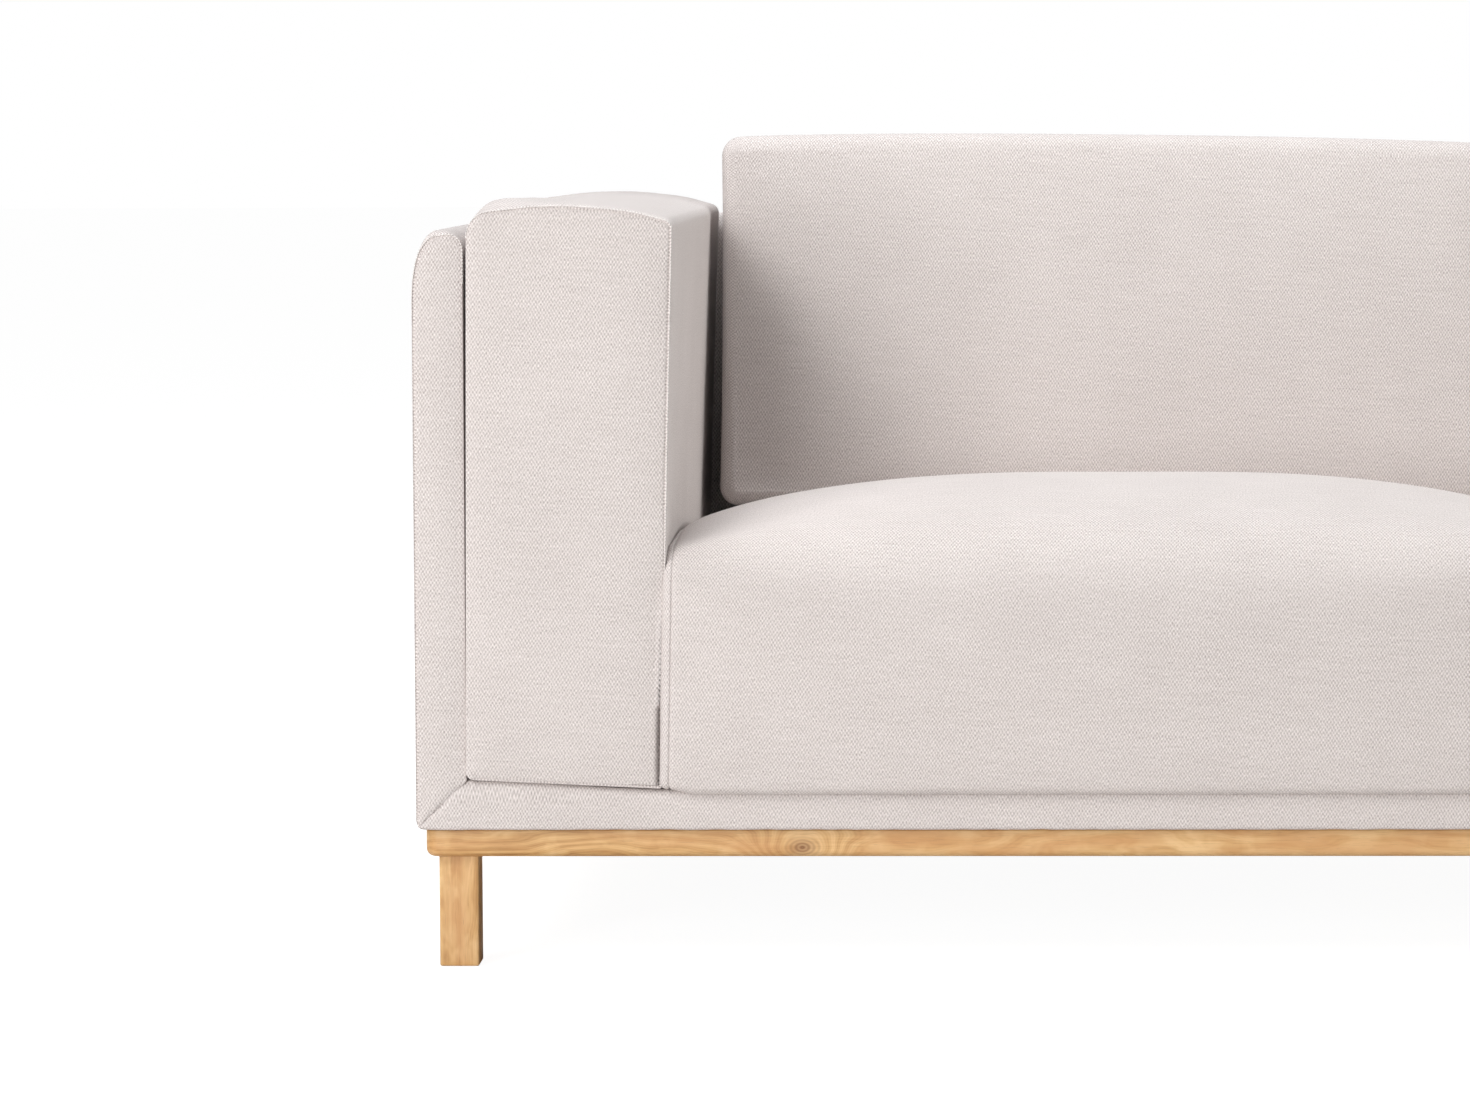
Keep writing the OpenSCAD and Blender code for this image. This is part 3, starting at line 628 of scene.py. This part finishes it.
panel_seam = rings[STITCHED].copy()
for y in [FRONT + 20.5, *np.linspace(FRONT + 26, HALF - 60, 50)]:
    rings.append(np.insert(ring, 1, y, axis=1))
start, end = HALF - 60, HALF - (ring[:, 0] + WIDE)  # the rear end is cut at 45 degrees, against the back panel
for share in np.linspace(0, 1, 7)[1:]:
    rings.append(np.insert(ring, 1, start + (end - start) * share, axis=1))
rings = np.array(rings)


def corner_round(points, radius):
    """Rounds the upright corner at the outer rear of the left side."""
    over = points - (-WIDE + radius, HALF - radius, 0)
    x, y = -over[..., 0], over[..., 1]
    inside = (x > 0) & (y > 0)
    most = np.maximum(x, y)
    size = np.hypot(x, y)
    scale = np.where(inside, most / np.maximum(size, 1e-9), 1)
    points = points.copy()
    points[..., 0] = np.where(inside, -WIDE + radius - x * scale, points[..., 0])
    points[..., 1] = np.where(inside, HALF - radius + y * scale, points[..., 1])
    return points


def panel_face(grid):
    """The narrow front face, a little full between its seams."""
    grid = grid.copy()
    edge = grid[:, [0, -1], 0].mean(1)[:, None]
    half = np.maximum((grid[:, -1, 0] - grid[:, 0, 0])[:, None] / 2, 1)
    grid[..., 1] -= 1.8 * (1 - ((grid[..., 0] - edge) / half) ** 2)
    return grid


rings = corner_round(rings, CORNER)
skin = body_of_rings(rings, rows, cols, puff=(panel_face, 0))
left_panel = keep(skin.made("outer_panel_left", UPHOLSTERY), "root", ["left_panel_cover"])
keep(mirrored(left_panel, "outer_panel_right"), "root", ["right_panel_cover"])


def stitched(name, seam, outward, chosen, gap=2.8, size=(1.15, 0.62, 0.6)):
    """A row of stitches along the chosen part of a seam on the left side, and its mirror image on the right."""
    way = np.column_stack([outward[:, 0], np.full(len(outward), -0.8), outward[:, 1]])
    row = beads(name + "_left", THREAD, seam[chosen] + way[chosen] * 0.15, way[chosen], gap, size)
    keep(row, "root")
    keep(mirrored(row, name + "_right"), "root")


stitched("outer_panel_stitches", panel_seam, -front_inward, slice(rows - 10, rows + cols + 8))

rows, cols = 44, 10
inner_y = box("back_panel_cover")[0][1]
corners = [(inner_y, panel_low[2], 1.5), (inner_y, panel_high[2], 18),
           (HALF, panel_high[2], 22.9), (HALF, panel_low[2], 9)]
ring, inward = outline(corners, FOUR, rows, cols, bend=14)
ring = pointed(ring, (inner_y + HALF) / 2, (inner_y - HALF) / 2)
rings = []
reach = WIDE - (HALF - ring[:, 0])
for share in np.concatenate([[-1, -0.995], np.linspace(-0.985, 0.985, 90), [0.995, 1]]):
    rings.append(np.insert(ring, 0, reach * share, axis=1))
rings = np.array(rings)
to_left = np.where(rings[..., :1] > 0, -1, 1) * np.array([1, 0, 0]) + np.array([0, 1, 1])
rings = corner_round(rings * to_left, CORNER) * to_left
bulge = smooth(rings[..., 2], 130, 300) * smooth(-rings[..., 2], -650, -480) * (rings[..., 1] > HALF - 2)
rings[..., 1] += 1.5 * bulge
skin = body_of_rings(rings, rows, cols, turned=True)
keep(skin.made("outer_panel_back", UPHOLSTERY), "root", ["back_panel_cover"])


def slab(outer, inner, uv):
    """A sheet with thickness from two grids of points."""
    skin = Skin()
    a, b = skin.add(outer), skin.add(inner)
    skin.quads(a, uv)
    skin.quads(b[::-1], uv[::-1])
    for edge in (np.s_[0], np.s_[-1], np.s_[:, 0], np.s_[:, -1]):
        skin.quads(np.stack([a[edge], b[edge]]), np.stack([uv[edge], uv[edge]]))
    return skin


band_corner, foot_r = 7, 3.5
section = [(FRONT + foot_r, band_low[2])]
section += [(FRONT + foot_r * (1 - math.sin(t)), band_low[2] + foot_r * (1 - math.cos(t)))
            for t in np.linspace(0, math.pi / 2, 6)[1:]]
section += [(FRONT, z) for z in np.linspace(band_low[2] + foot_r, band_high[2] - band_corner, 14)[1:]]
section += [(FRONT + band_corner * (1 - math.cos(t)), band_high[2] - band_corner * (1 - math.sin(t)))
            for t in np.linspace(0, math.pi / 2, 8)[1:]]
section += [(y, band_high[2]) for y in np.linspace(FRONT + band_corner, band_high[1], 10)[1:]]
section = np.array(section)
way = np.gradient(section, axis=0)
way /= np.linalg.norm(way, axis=1)[:, None]
thin = section + 3.4 * np.column_stack([way[:, 1], -way[:, 0]])
thin[:, 1] = np.maximum(thin[:, 1], band_low[2])
shares = np.linspace(-1, 1, 241)


def band_grid(line, inset):
    """The band's section swept across the sofa, cut to the mitres at its ends."""
    reach = np.where(line[:, 1] < band_high[2] - 0.5, WIDE - (line[:, 1] - band_low[2]) / MITRE, WIDE - 46)
    high = np.clip(9 - (line[:, 1] - band_low[2]), 0, 9)
    reach = np.minimum(reach, WIDE - 9 + np.sqrt(81 - high ** 2)) - inset
    y, z = np.repeat(line[:, :1], len(shares), 1), np.repeat(line[:, 1:], len(shares), 1)
    return np.stack([np.outer(reach, shares), y, z], -1)


outer, inner = band_grid(section, 0.1), band_grid(thin, 0.1)
for part in (outer, inner):
    lift = smooth(part[..., 2], band_high[2] - 14, band_high[2] - 1) * (part[..., 1] < FRONT + 30)
    part[..., 2] += lift * (8.5 * smooth(np.abs(part[..., 0]), 815, 1004) + 0.8)
wave = ripple(outer, 5, 60) * 0.7
for part in (outer, inner):
    part[..., 1] -= wave * smooth(-part[..., 1], -FRONT - 8, -FRONT)
    part[..., 2] += np.where(part[..., 2] < band_low[2] + 4, np.abs(ripple(part, 6, 38)) * 0.5, 0)
uv = np.stack([outer[..., 0], np.repeat(along(section)[:, None], len(shares), 1)], -1)
keep(slab(outer, inner, uv).made("front_band_cover", UPHOLSTERY), "root", ["front_band"])


# ---------------------------------------------------------------- arms and back

def lean(z):
    """Y of the back's leaning face at a height."""
    return back_low[1] + (z - back_low[2]) * 60 / 493


rows, cols = 62, 26
ax = arm_low[0]
arm_corners = [(ax - 0.4, 169.5, 9), (ax + 3.6, 671, 27), (ax + 82, 681, 300), (ax + 150, 674, 160),
               (ax + 185.5, 664.5, 10), (ax + 180, 460, 900), (ax + 173.1, 161.5, 2.5)]
ring, inward = outline(arm_corners, (0, 1, 4, 6), rows, cols, bend=22)
arm_front = arm_low[1] + 1.5
rise, facing_panel = np.clip(-inward[:, 1], 0, 1), np.clip(inward[:, 0] * 1.3, 0, 1)
facing_seat = np.clip(-inward[:, 0] * 1.3, 0, 1) * smooth(-ring[:, 1], -430, -380)
seam_inset = (1.6 + 2.0 * rise) * (1 - 0.9 * facing_panel)
seam_groove = 1 - 0.85 * facing_panel - 0.45 * facing_seat
rings = front_sections(ring, inward, seam_inset, arm_front, 15, seam_groove)
arm_seam, arm_out = rings[STITCHED].copy(), -inward
start, end = arm_high[1] - 90, lean(ring[:, 1]) - 2
for y in np.linspace(arm_front + 24, start, 46):
    rings.append(np.insert(ring, 1, y, axis=1))
for share in np.linspace(0, 1, 9)[1:]:
    rings.append(np.insert(ring, 1, start + (end - start) * share, axis=1))
last = ring + inward * 6
rings.append(np.insert(last, 1, lean(last[:, 1]) + 3, axis=1))
rings = np.array(rings)


def arm_face(grid):
    """The front panel, full by a few millimetres, with small puckers by its seam."""
    grid = grid.copy()
    x, z = grid[..., 0], grid[..., 2]
    low_x, high_x = grid[:, [0], 0], grid[:, [-1], 0]
    edge = np.minimum(x - low_x, high_x - x)
    edge = np.minimum(edge, np.minimum(z - grid[[0], :, 2], grid[[-1], :, 2] - z))
    edge = np.maximum(edge, 0)
    grid[..., 1] -= 3.4 * (1 - np.exp(-edge / 12))
    puckers = 0.35 * ripple(grid, 11, 15) * np.exp(-edge / 9)
    grid[..., 1] += (puckers + 0.5 * ripple(grid, 12, 130)) * (1 - np.exp(-edge / 3))
    return grid


shoulder = 7 * np.exp(-((rings[..., 0] - ax - 32) / 28) ** 2) * smooth(rings[..., 1], arm_front + 1, arm_front + 36)
shoulder *= smooth(rings[..., 2], 560, 650) * (1 - 0.8 * smooth(rings[..., 1], arm_front + 60, arm_front + 420))
rings[..., 2] += shoulder
rings[..., 2] += np.where(rings[..., 2] > 600, 0.8 * ripple(rings, 14, 160), 0)
skin = body_of_rings(rings, rows, cols, puff=(arm_face, 0))
left_arm = keep(skin.made("arm_left", UPHOLSTERY), "root", ["arm_cover_left", "arm_foam_left"])
keep(mirrored(left_arm, "arm_right"), "root", ["arm_cover_right", "arm_foam_right"])
stitched("arm_stitches", arm_seam, arm_out, slice(rows - 4, 2 * rows + cols - 1))

rows, cols = 40, 12
corners = [(back_low[1], back_low[2], 8), (lean(back_high[2]), back_high[2], 22),
           (back_high[1], back_high[2], 14), (back_high[1], back_low[2], 6)]
ring, inward = outline(corners, FOUR, rows, cols, bend=20)
sections = [(i, -INNER + d) for i, d in reversed(rim(6))]
sections += [(0, x) for x in np.linspace(-INNER + 10, INNER - 10, 110)] + [(i, INNER - d) for i, d in rim(6)]
rings = []
for inset, x in sections:
    flat = ring + inward * inset
    rings.append(np.insert(flat, 0, x, axis=1))
rings = np.array(rings)
rings[..., 1] -= 5 * smooth(rings[..., 2], 180, 330) * smooth(-rings[..., 2], -640, -520) * (rings[..., 1] < 330)
rings[..., 2] += 0.8 * ripple(rings, 21, 170) * (rings[..., 2] > 620)
skin = body_of_rings(rings, rows, cols, turned=True)
keep(skin.made("back_block", UPHOLSTERY), "root", ["back_cover", "back_foam"])


# ---------------------------------------------------------------- cushions

PRESSURE = 4.0
SIM_FRAMES = 20
GRIPS = 20  # steps between a point that is held and one that is free


def settle(obj, free, most):
    """Lets a cushion's cover swell as cloth under pressure. free is how freely each point may move, from 0 to 1, and
    most is the furthest, in millimetres, that one goes."""
    scene = bpy.context.scene
    mesh = obj.data
    rest = np.zeros(len(mesh.vertices) * 3)
    mesh.vertices.foreach_get("co", rest)
    held = obj.vertex_groups.new(name="held")
    steps = np.round((1 - free) * GRIPS).astype(int)
    for step in range(1, GRIPS + 1):
        held.add(np.flatnonzero(steps == step).tolist(), step / GRIPS, "REPLACE")
    cloth = obj.modifiers.new("cloth", "CLOTH")
    wanted = cloth.settings
    wanted.quality, wanted.mass, wanted.air_damping = 5, 0.3, 2.0
    wanted.tension_stiffness = wanted.compression_stiffness = 30
    wanted.shear_stiffness, wanted.bending_stiffness = 15, 0.4
    wanted.use_pressure, wanted.uniform_pressure_force = True, PRESSURE
    wanted.vertex_group_mass = "held"
    wanted.effector_weights.gravity = 0
    cloth.collision_settings.use_collision = False
    cloth.point_cache.frame_start, cloth.point_cache.frame_end = 1, SIM_FRAMES
    for frame_number in range(1, SIM_FRAMES + 1):
        scene.frame_set(frame_number)
    found = np.zeros(len(rest))
    shaped = obj.evaluated_get(bpy.context.evaluated_depsgraph_get())
    shaped.data.vertices.foreach_get("co", found)
    obj.modifiers.remove(cloth)
    obj.vertex_groups.remove(held)
    scene.frame_set(1)
    move = (found - rest).reshape(-1, 3)
    size = np.linalg.norm(move, axis=1, keepdims=True) * 1000
    move *= most * np.tanh(size / most) / np.maximum(size, 1e-6) * free[:, None]
    mesh.vertices.foreach_set("co", rest + move.ravel())
    mesh.update()
    return obj


def seat_cushion(name, seed=40):
    """The left seat cushion: side boxing sewn on 7 mm round the front, and a crowned top."""
    rows, cols = 26, 60
    x0, x1 = seat_low[0] - 7.6, seat_high[0] - 0.6
    y0, y1 = seat_low[1] + 1, seat_high[1] - 0.4
    foot = seat_low[2] + 0.5
    corners = [(y0, foot, 8), (y0, 374, 34), (y0 + 140, 372.5, 300),
               (y0 + 370, 360, 400), (y1, 344, 24), (y1, foot, 12)]
    ring, inward = outline(corners, (0, 1, 4, 5), rows, cols, bend=26)
    seam, groove = 7.4, 1.5
    left = [(i, x0 + d) for i, d in reversed(rim(seam))]
    left += [(i, x0 + seam + d) for i, d in ((0.2, 0.5), (groove, 1.2), (groove * 0.8, 1.8), (0.1, 2.8))]
    right = [(i, x1 - (x - x0)) for i, x in reversed(left)]
    rings = []
    for inset, x in left + [(0, x) for x in np.linspace(x0 + seam + 6, x1 - seam - 6, 96)] + right:
        flat = ring + inward * inset
        rings.append(np.insert(flat, 0, x, axis=1))
    rings = np.array(rings)

    def crowned(points):
        points = points.copy()
        x, y, z = points[..., 0], points[..., 1], points[..., 2]
        t = np.clip((x - x0) / (x1 - x0), 0, 1)
        across = 1 - np.abs(2 * t - 1) ** 2.8
        across = np.clip(across, 0, 1) ** 0.62
        deep = smooth(y, y0 - 60, -200) * (1 - 0.68 * smooth(y, -140, 110))
        top = smooth(z, 300, 368)
        points[..., 2] += top * 53 * across * deep
        front = smooth(-y, -y0 - 60, -y0 + 4) * smooth(z, foot - 10, foot + 40) * smooth(-z, -372, -330)
        points[..., 1] -= 7.5 * front * across
        inner = smooth(np.minimum(x - x0, x1 - x), seam + 1, seam + 24)
        points[..., 2] -= (4.5 * inner - 0.3) * smooth(-z, -foot - 40, -foot - 6) * smooth(-y, -y0 - 26, -y0 - 8)
        close = np.exp(-np.minimum(x - x0, x1 - x).clip(0) / 14)
        points[..., 2] += 0.55 * ripple(points, seed, 16) * close * top
        points[..., 1] += 0.25 * ripple(points, seed + 1, 16) * close * smooth(-y, -y0 - 30, -y0)
        points += 0.6 * (ripple(points, seed + 2, 140) * (top + 0.3 * front))[..., None] * np.array([0, -0.4, 1])
        slack = (points[..., 2] - 163) * 0.0205 - 0.9
        points[..., 0] += slack * smooth(-x, -x0 - 120, -x0)
        return points

    rings = crowned(rings)
    made = body_of_rings(rings, rows, cols, turned=True).made(name, UPHOLSTERY)
    at = np.array([v.co for v in made.data.vertices]) * 1000
    from_seam = np.minimum(at[:, 0] - x0, x1 - at[:, 0])
    free = smooth(from_seam, seam + 3, seam + 40) * smooth(at[:, 2], foot + 20, foot + 90)
    return settle(made, free * smooth(-at[:, 1], -y1 + 20, -y1 + 90), 9)


def rest_face(z):
    """Y of a back cushion's leaning front at a height, before it swells."""
    return 89.3 + (z - 370) * 79 / 370 + 2


def back_cushion(name):
    """The left back cushion: rounded front rim, boxed sides, leaning on the back."""
    rows, cols = 34, 64
    x0, x1 = rest_low[0], rest_high[0] - 0.5
    z0, z1 = rest_low[2], rest_high[2] - 6
    ring, inward = outline(plan((x0, z0), (x1, z1), 19), FOUR, rows, cols, bend=30)
    groove = 1.3
    places = [(i, d / 150) for i, d in reversed(rim(20))]
    places += [(0, 0.15), (0, 0.17), (0.1, 0.185), (groove, 0.195), (0.1, 0.205), (0, 0.22)]
    places += [(0, s) for s in np.linspace(0.26, 0.84, 14)]
    places += [(0, 0.87), (0.1, 0.89), (groove, 0.9), (0.1, 0.91)] + [(i, 1 - d / 150) for i, d in rim(12)]
    rings = []
    for inset, share in places:
        flat = ring + inward * inset
        z = flat[:, 1]
        front = rest_face(z)
        rear = 265.3 + (z - 370) * 45 / 370 - 1.6
        rings.append(np.insert(flat, 1, front + (rear - front) * share, axis=1))
    rings = np.array(rings)

    def crowned(points):
        points = points.copy()
        x, z = points[..., 0], points[..., 2]
        t, h = np.clip((x - x0) / (x1 - x0), 0, 1), np.clip((z - z0) / (z1 - z0), 0, 1)
        across = (1 - np.abs(2 * t - 1) ** 2.4).clip(0)
        up = (1 - np.abs(2 * h - 1) ** 2.6).clip(0)
        points[..., 2] += (6.5 * across ** 0.8 - 11 * t ** 1.1) * smooth(z, z1 - 120, z1)
        points[..., 0] += 2.0 * up * (smooth(-x, -x0 - 25, -x0) - smooth(x, x1 - 25, x1))
        return points

    rings = crowned(rings)
    made = body_of_rings(rings, rows, cols, puff=(crowned_face, 0)).made(name, UPHOLSTERY)
    at = np.array([v.co for v in made.data.vertices]) * 1000
    front = rest_face(at[:, 2])
    edge = np.minimum(np.minimum(at[:, 0] - x0, x1 - at[:, 0]), np.minimum(at[:, 2] - z0, z1 - at[:, 2]))
    return settle(made, smooth(edge, 4, 60) * smooth(-at[:, 1], -front - 30, -front), 10)


def crowned_face(grid):
    """The front of a back cushion: it swells between its edges, and its low outer corner is tucked in with a fold."""
    grid = grid.copy()
    x, z = grid[..., 0], grid[..., 2]
    edge_x = np.minimum(x - grid[:, [0], 0], grid[:, [-1], 0] - x).clip(0)
    edge_z = np.minimum(z - grid[[0], :, 2], grid[[-1], :, 2] - z).clip(0)
    swell = (1 - np.exp(-edge_x / 55)) * (1 - np.exp(-edge_z / 45))
    edge = np.minimum(edge_x, edge_z)
    x, z = x - x.min(), z - z.min()
    grid[..., 1] -= 13 * swell
    tucked = np.exp(-((x / 75) ** 2 + (z / 150) ** 2))
    grid[..., 1] += 9 * tucked * swell ** 0.5
    fold = (x * 0.8 + z * 0.6 - 118) / 17
    grid[..., 1] += 2.4 * np.exp(-fold ** 2) * np.exp(-((z - 62) / 48) ** 2) * swell
    puckers = 0.5 * ripple(grid, 31, 24) * np.exp(-edge / 22) * (1 - np.exp(-edge / 4))
    grid[..., 1] += puckers + 0.8 * ripple(grid, 32, 150) * swell
    return grid


for kind, build, fill in (("seat_cushion", seat_cushion, 0.9), ("back_cushion", back_cushion, 0.85)):
    made = build(kind + "_left")
    for side, obj in (("left", made), ("right", mirrored(made, kind + "_right"))):
        keep(obj, f"{kind}_{side}", [f"{kind}_cover_{side}", f"{kind}_foam_{side}"])


# ---------------------------------------------------------------- cloths under the seat

def stapled_cloth(name, node, material, sag, hem):
    """A cloth stretched under or over the frame, with its folded hem and a slight sag between its staples."""
    low, high = box(node)
    across = np.linspace(low[0], high[0], 121)
    deep = np.linspace(low[1], high[1], 61)
    x, y = np.meshgrid(across, deep, indexing="ij")
    edge = np.minimum(np.minimum(x - low[0], high[0] - x), np.minimum(y - low[1], high[1] - y))
    grid = np.stack([x, y, np.zeros(x.shape)], -1)
    fall = sag * (1 - np.exp(-edge / 90)) * (0.75 + 0.25 * ripple(grid, 61, 400))
    pull = 0.5 * np.exp(-edge / 25) * (0.5 + 0.5 * np.sin(2 * math.pi * (x + y) / 45))
    thick = min(1.0, (high[2] - low[2]) * 0.8)
    top = high[2] - 0.1 - fall - pull
    folded = thick * (0.4 + 0.6 * (edge < hem))
    upper, lower = np.stack([x, y, top], -1), np.stack([x, y, top - folded], -1)
    made = slab(upper, lower, grid[..., :2]).made(name, material)
    return keep(made, "root", [node])


deck = stapled_cloth("deck_cloth_sheet", "deck_cloth", LINING, 0.6, 20)
dust = stapled_cloth("dust_cover_sheet", "dust_cover", BLACK, 0.0, 18)


# ---------------------------------------------------------------- CAD nodes that stay, with their materials

STAYS = {  # material: nodes
    BEECH: ["rail_dowels"],
    STEEL: ["rail_screws", "leg_bolts", "leg_inserts", "frame_bolts", "seat_zip_pull_left", "seat_zip_pull_right",
            "back_zip_pull_left", "back_zip_pull_right"],
    NYLON: ["leg_glides"],
    OAK_Y: ["centre_rail"],
    PINE_X: ["base_front_board", "base_rear_board", "corner_blocks", "back_frame"],
    PINE_Y: ["base_centre_board"],
    PLY: ["base_left_board", "base_right_board", "arm_bearers", "back_bearer", "left_panel_board", "right_panel_board",
          "back_panel_board", "arm_frame_left", "arm_frame_right"],
    WEBBING: ["seat_webbing"],
    WEBBING_UP: ["back_webbing"],
    ZIP: ["seat_cushion_zip_left", "seat_cushion_zip_right", "back_cushion_zip_left", "back_cushion_zip_right"],
}
for material, names in STAYS.items():
    for name in names:
        nodes[name].data.materials.clear()
        nodes[name].data.materials.append(material)


# ---------------------------------------------------------------- floor, light and camera

floor_mesh = bpy.data.meshes.new("floor")
floor_mesh.from_pydata([(-40, -40, 0), (40, -40, 0), (40, 40, 0), (-40, 40, 0)], [], [(0, 1, 2, 3)])
floor = bpy.data.objects.new("floor", floor_mesh)
bpy.context.scene.collection.objects.link(floor)
pale = Paint("pale_floor", roughness=0.9, Specular_IOR_Level=0.1, Emission_Strength=0.95)
pale.shader.inputs["Base Color"].default_value = (0.3, 0.3, 0.3, 1)
pale.shader.inputs["Emission Color"].default_value = (1, 1, 1, 1)
dim = pale.add("BsdfDiffuse", {"Color": (0.8, 0.79, 0.78, 1)})
ray = pale.add("LightPath").outputs["Is Camera Ray"]
both = pale.add("MixShader", {0: ray, 1: dim.outputs[0], 2: pale.shader.outputs[0]})
pale.tree.links.new(both.outputs[0], pale.tree.nodes["Material Output"].inputs[0])
floor_mesh.materials.append(pale.material)

SKY = (0.02, 0.14)  # studio light from low down and from above
scene = bpy.context.scene
world = bpy.data.worlds.new("studio")
scene.world = world
world.use_nodes = True
tree = world.node_tree
tree.nodes.clear()
seen = node_of(tree, "ShaderNodeBackground", {"Color": (1, 1, 1, 1), "Strength": 1.0})
sky = node_of(tree, "ShaderNodeSeparateXYZ", {0: node_of(tree, "ShaderNodeTexCoord").outputs["Generated"]})
glow = node_of(tree, "ShaderNodeMapRange", {"Value": sky.outputs[2], 1: -0.05, 2: 0.7, 3: SKY[0], 4: SKY[1]})
lit = node_of(tree, "ShaderNodeBackground", {"Color": (1, 1, 1, 1), "Strength": glow.outputs[0]})
ray = node_of(tree, "ShaderNodeLightPath")
blend = node_of(tree, "ShaderNodeMixShader", {0: ray.outputs["Is Camera Ray"], 1: lit.outputs[0], 2: seen.outputs[0]})
node_of(tree, "ShaderNodeOutputWorld", {"Surface": blend.outputs[0]})


def area(name, place, at, size, power, colour=(1, 1, 1)):
    """A square lamp that faces a point. Places are in metres and power in watts."""
    light = bpy.data.lights.new(name, "AREA")
    light.shape, light.size, light.energy, light.color = "SQUARE", size, power, colour
    obj = bpy.data.objects.new(name, light)
    scene.collection.objects.link(obj)
    obj.location = place
    obj.rotation_mode = "QUATERNION"
    obj.rotation_quaternion = (Vector(at) - obj.location).to_track_quat("-Z", "Y")


area("key", (-2.8, -6.1, 1.2), (-0.4, -0.2, 0.4), 2.6, 206)
area("high_key", (-3.2, -3.3, 3.5), (-0.4, -0.2, 0.4), 2.2, 124)
area("top", (-1.0, 0.4, 3.6), (-0.4, -0.1, 0.4), 1.5, 83, (0.93, 0.97, 1.0))
area("side", (3.0, 0.15, 1.9), (-0.8, 0, 0.45), 1.0, 70, (0.97, 1.0, 0.99))

PHOTO_WIDTH = 1470
SENSOR = 36
LENS = 4753  # focal length in the photo's pixels
TURN, TILT, ROLL = 0.0215, 0.0554, -0.0036  # radians
camera = bpy.data.objects.new("camera", bpy.data.cameras.new("camera"))
scene.collection.objects.link(camera)
camera.data.sensor_width = SENSOR
camera.data.lens = LENS / PHOTO_WIDTH * SENSOR
camera.data.shift_x, camera.data.shift_y = -0.10, -0.11
camera.location = (-0.5466, -4.5796, 0.7447)
camera.rotation_mode = "XYZ"
level = Euler((math.pi / 2 - TILT, 0, TURN), "XYZ").to_matrix()
camera.rotation_euler = (level @ Matrix.Rotation(ROLL, 3, "Z")).to_euler("XYZ")
camera.data.clip_end = 200
scene.camera = camera
scene.view_settings.view_transform = "Standard"
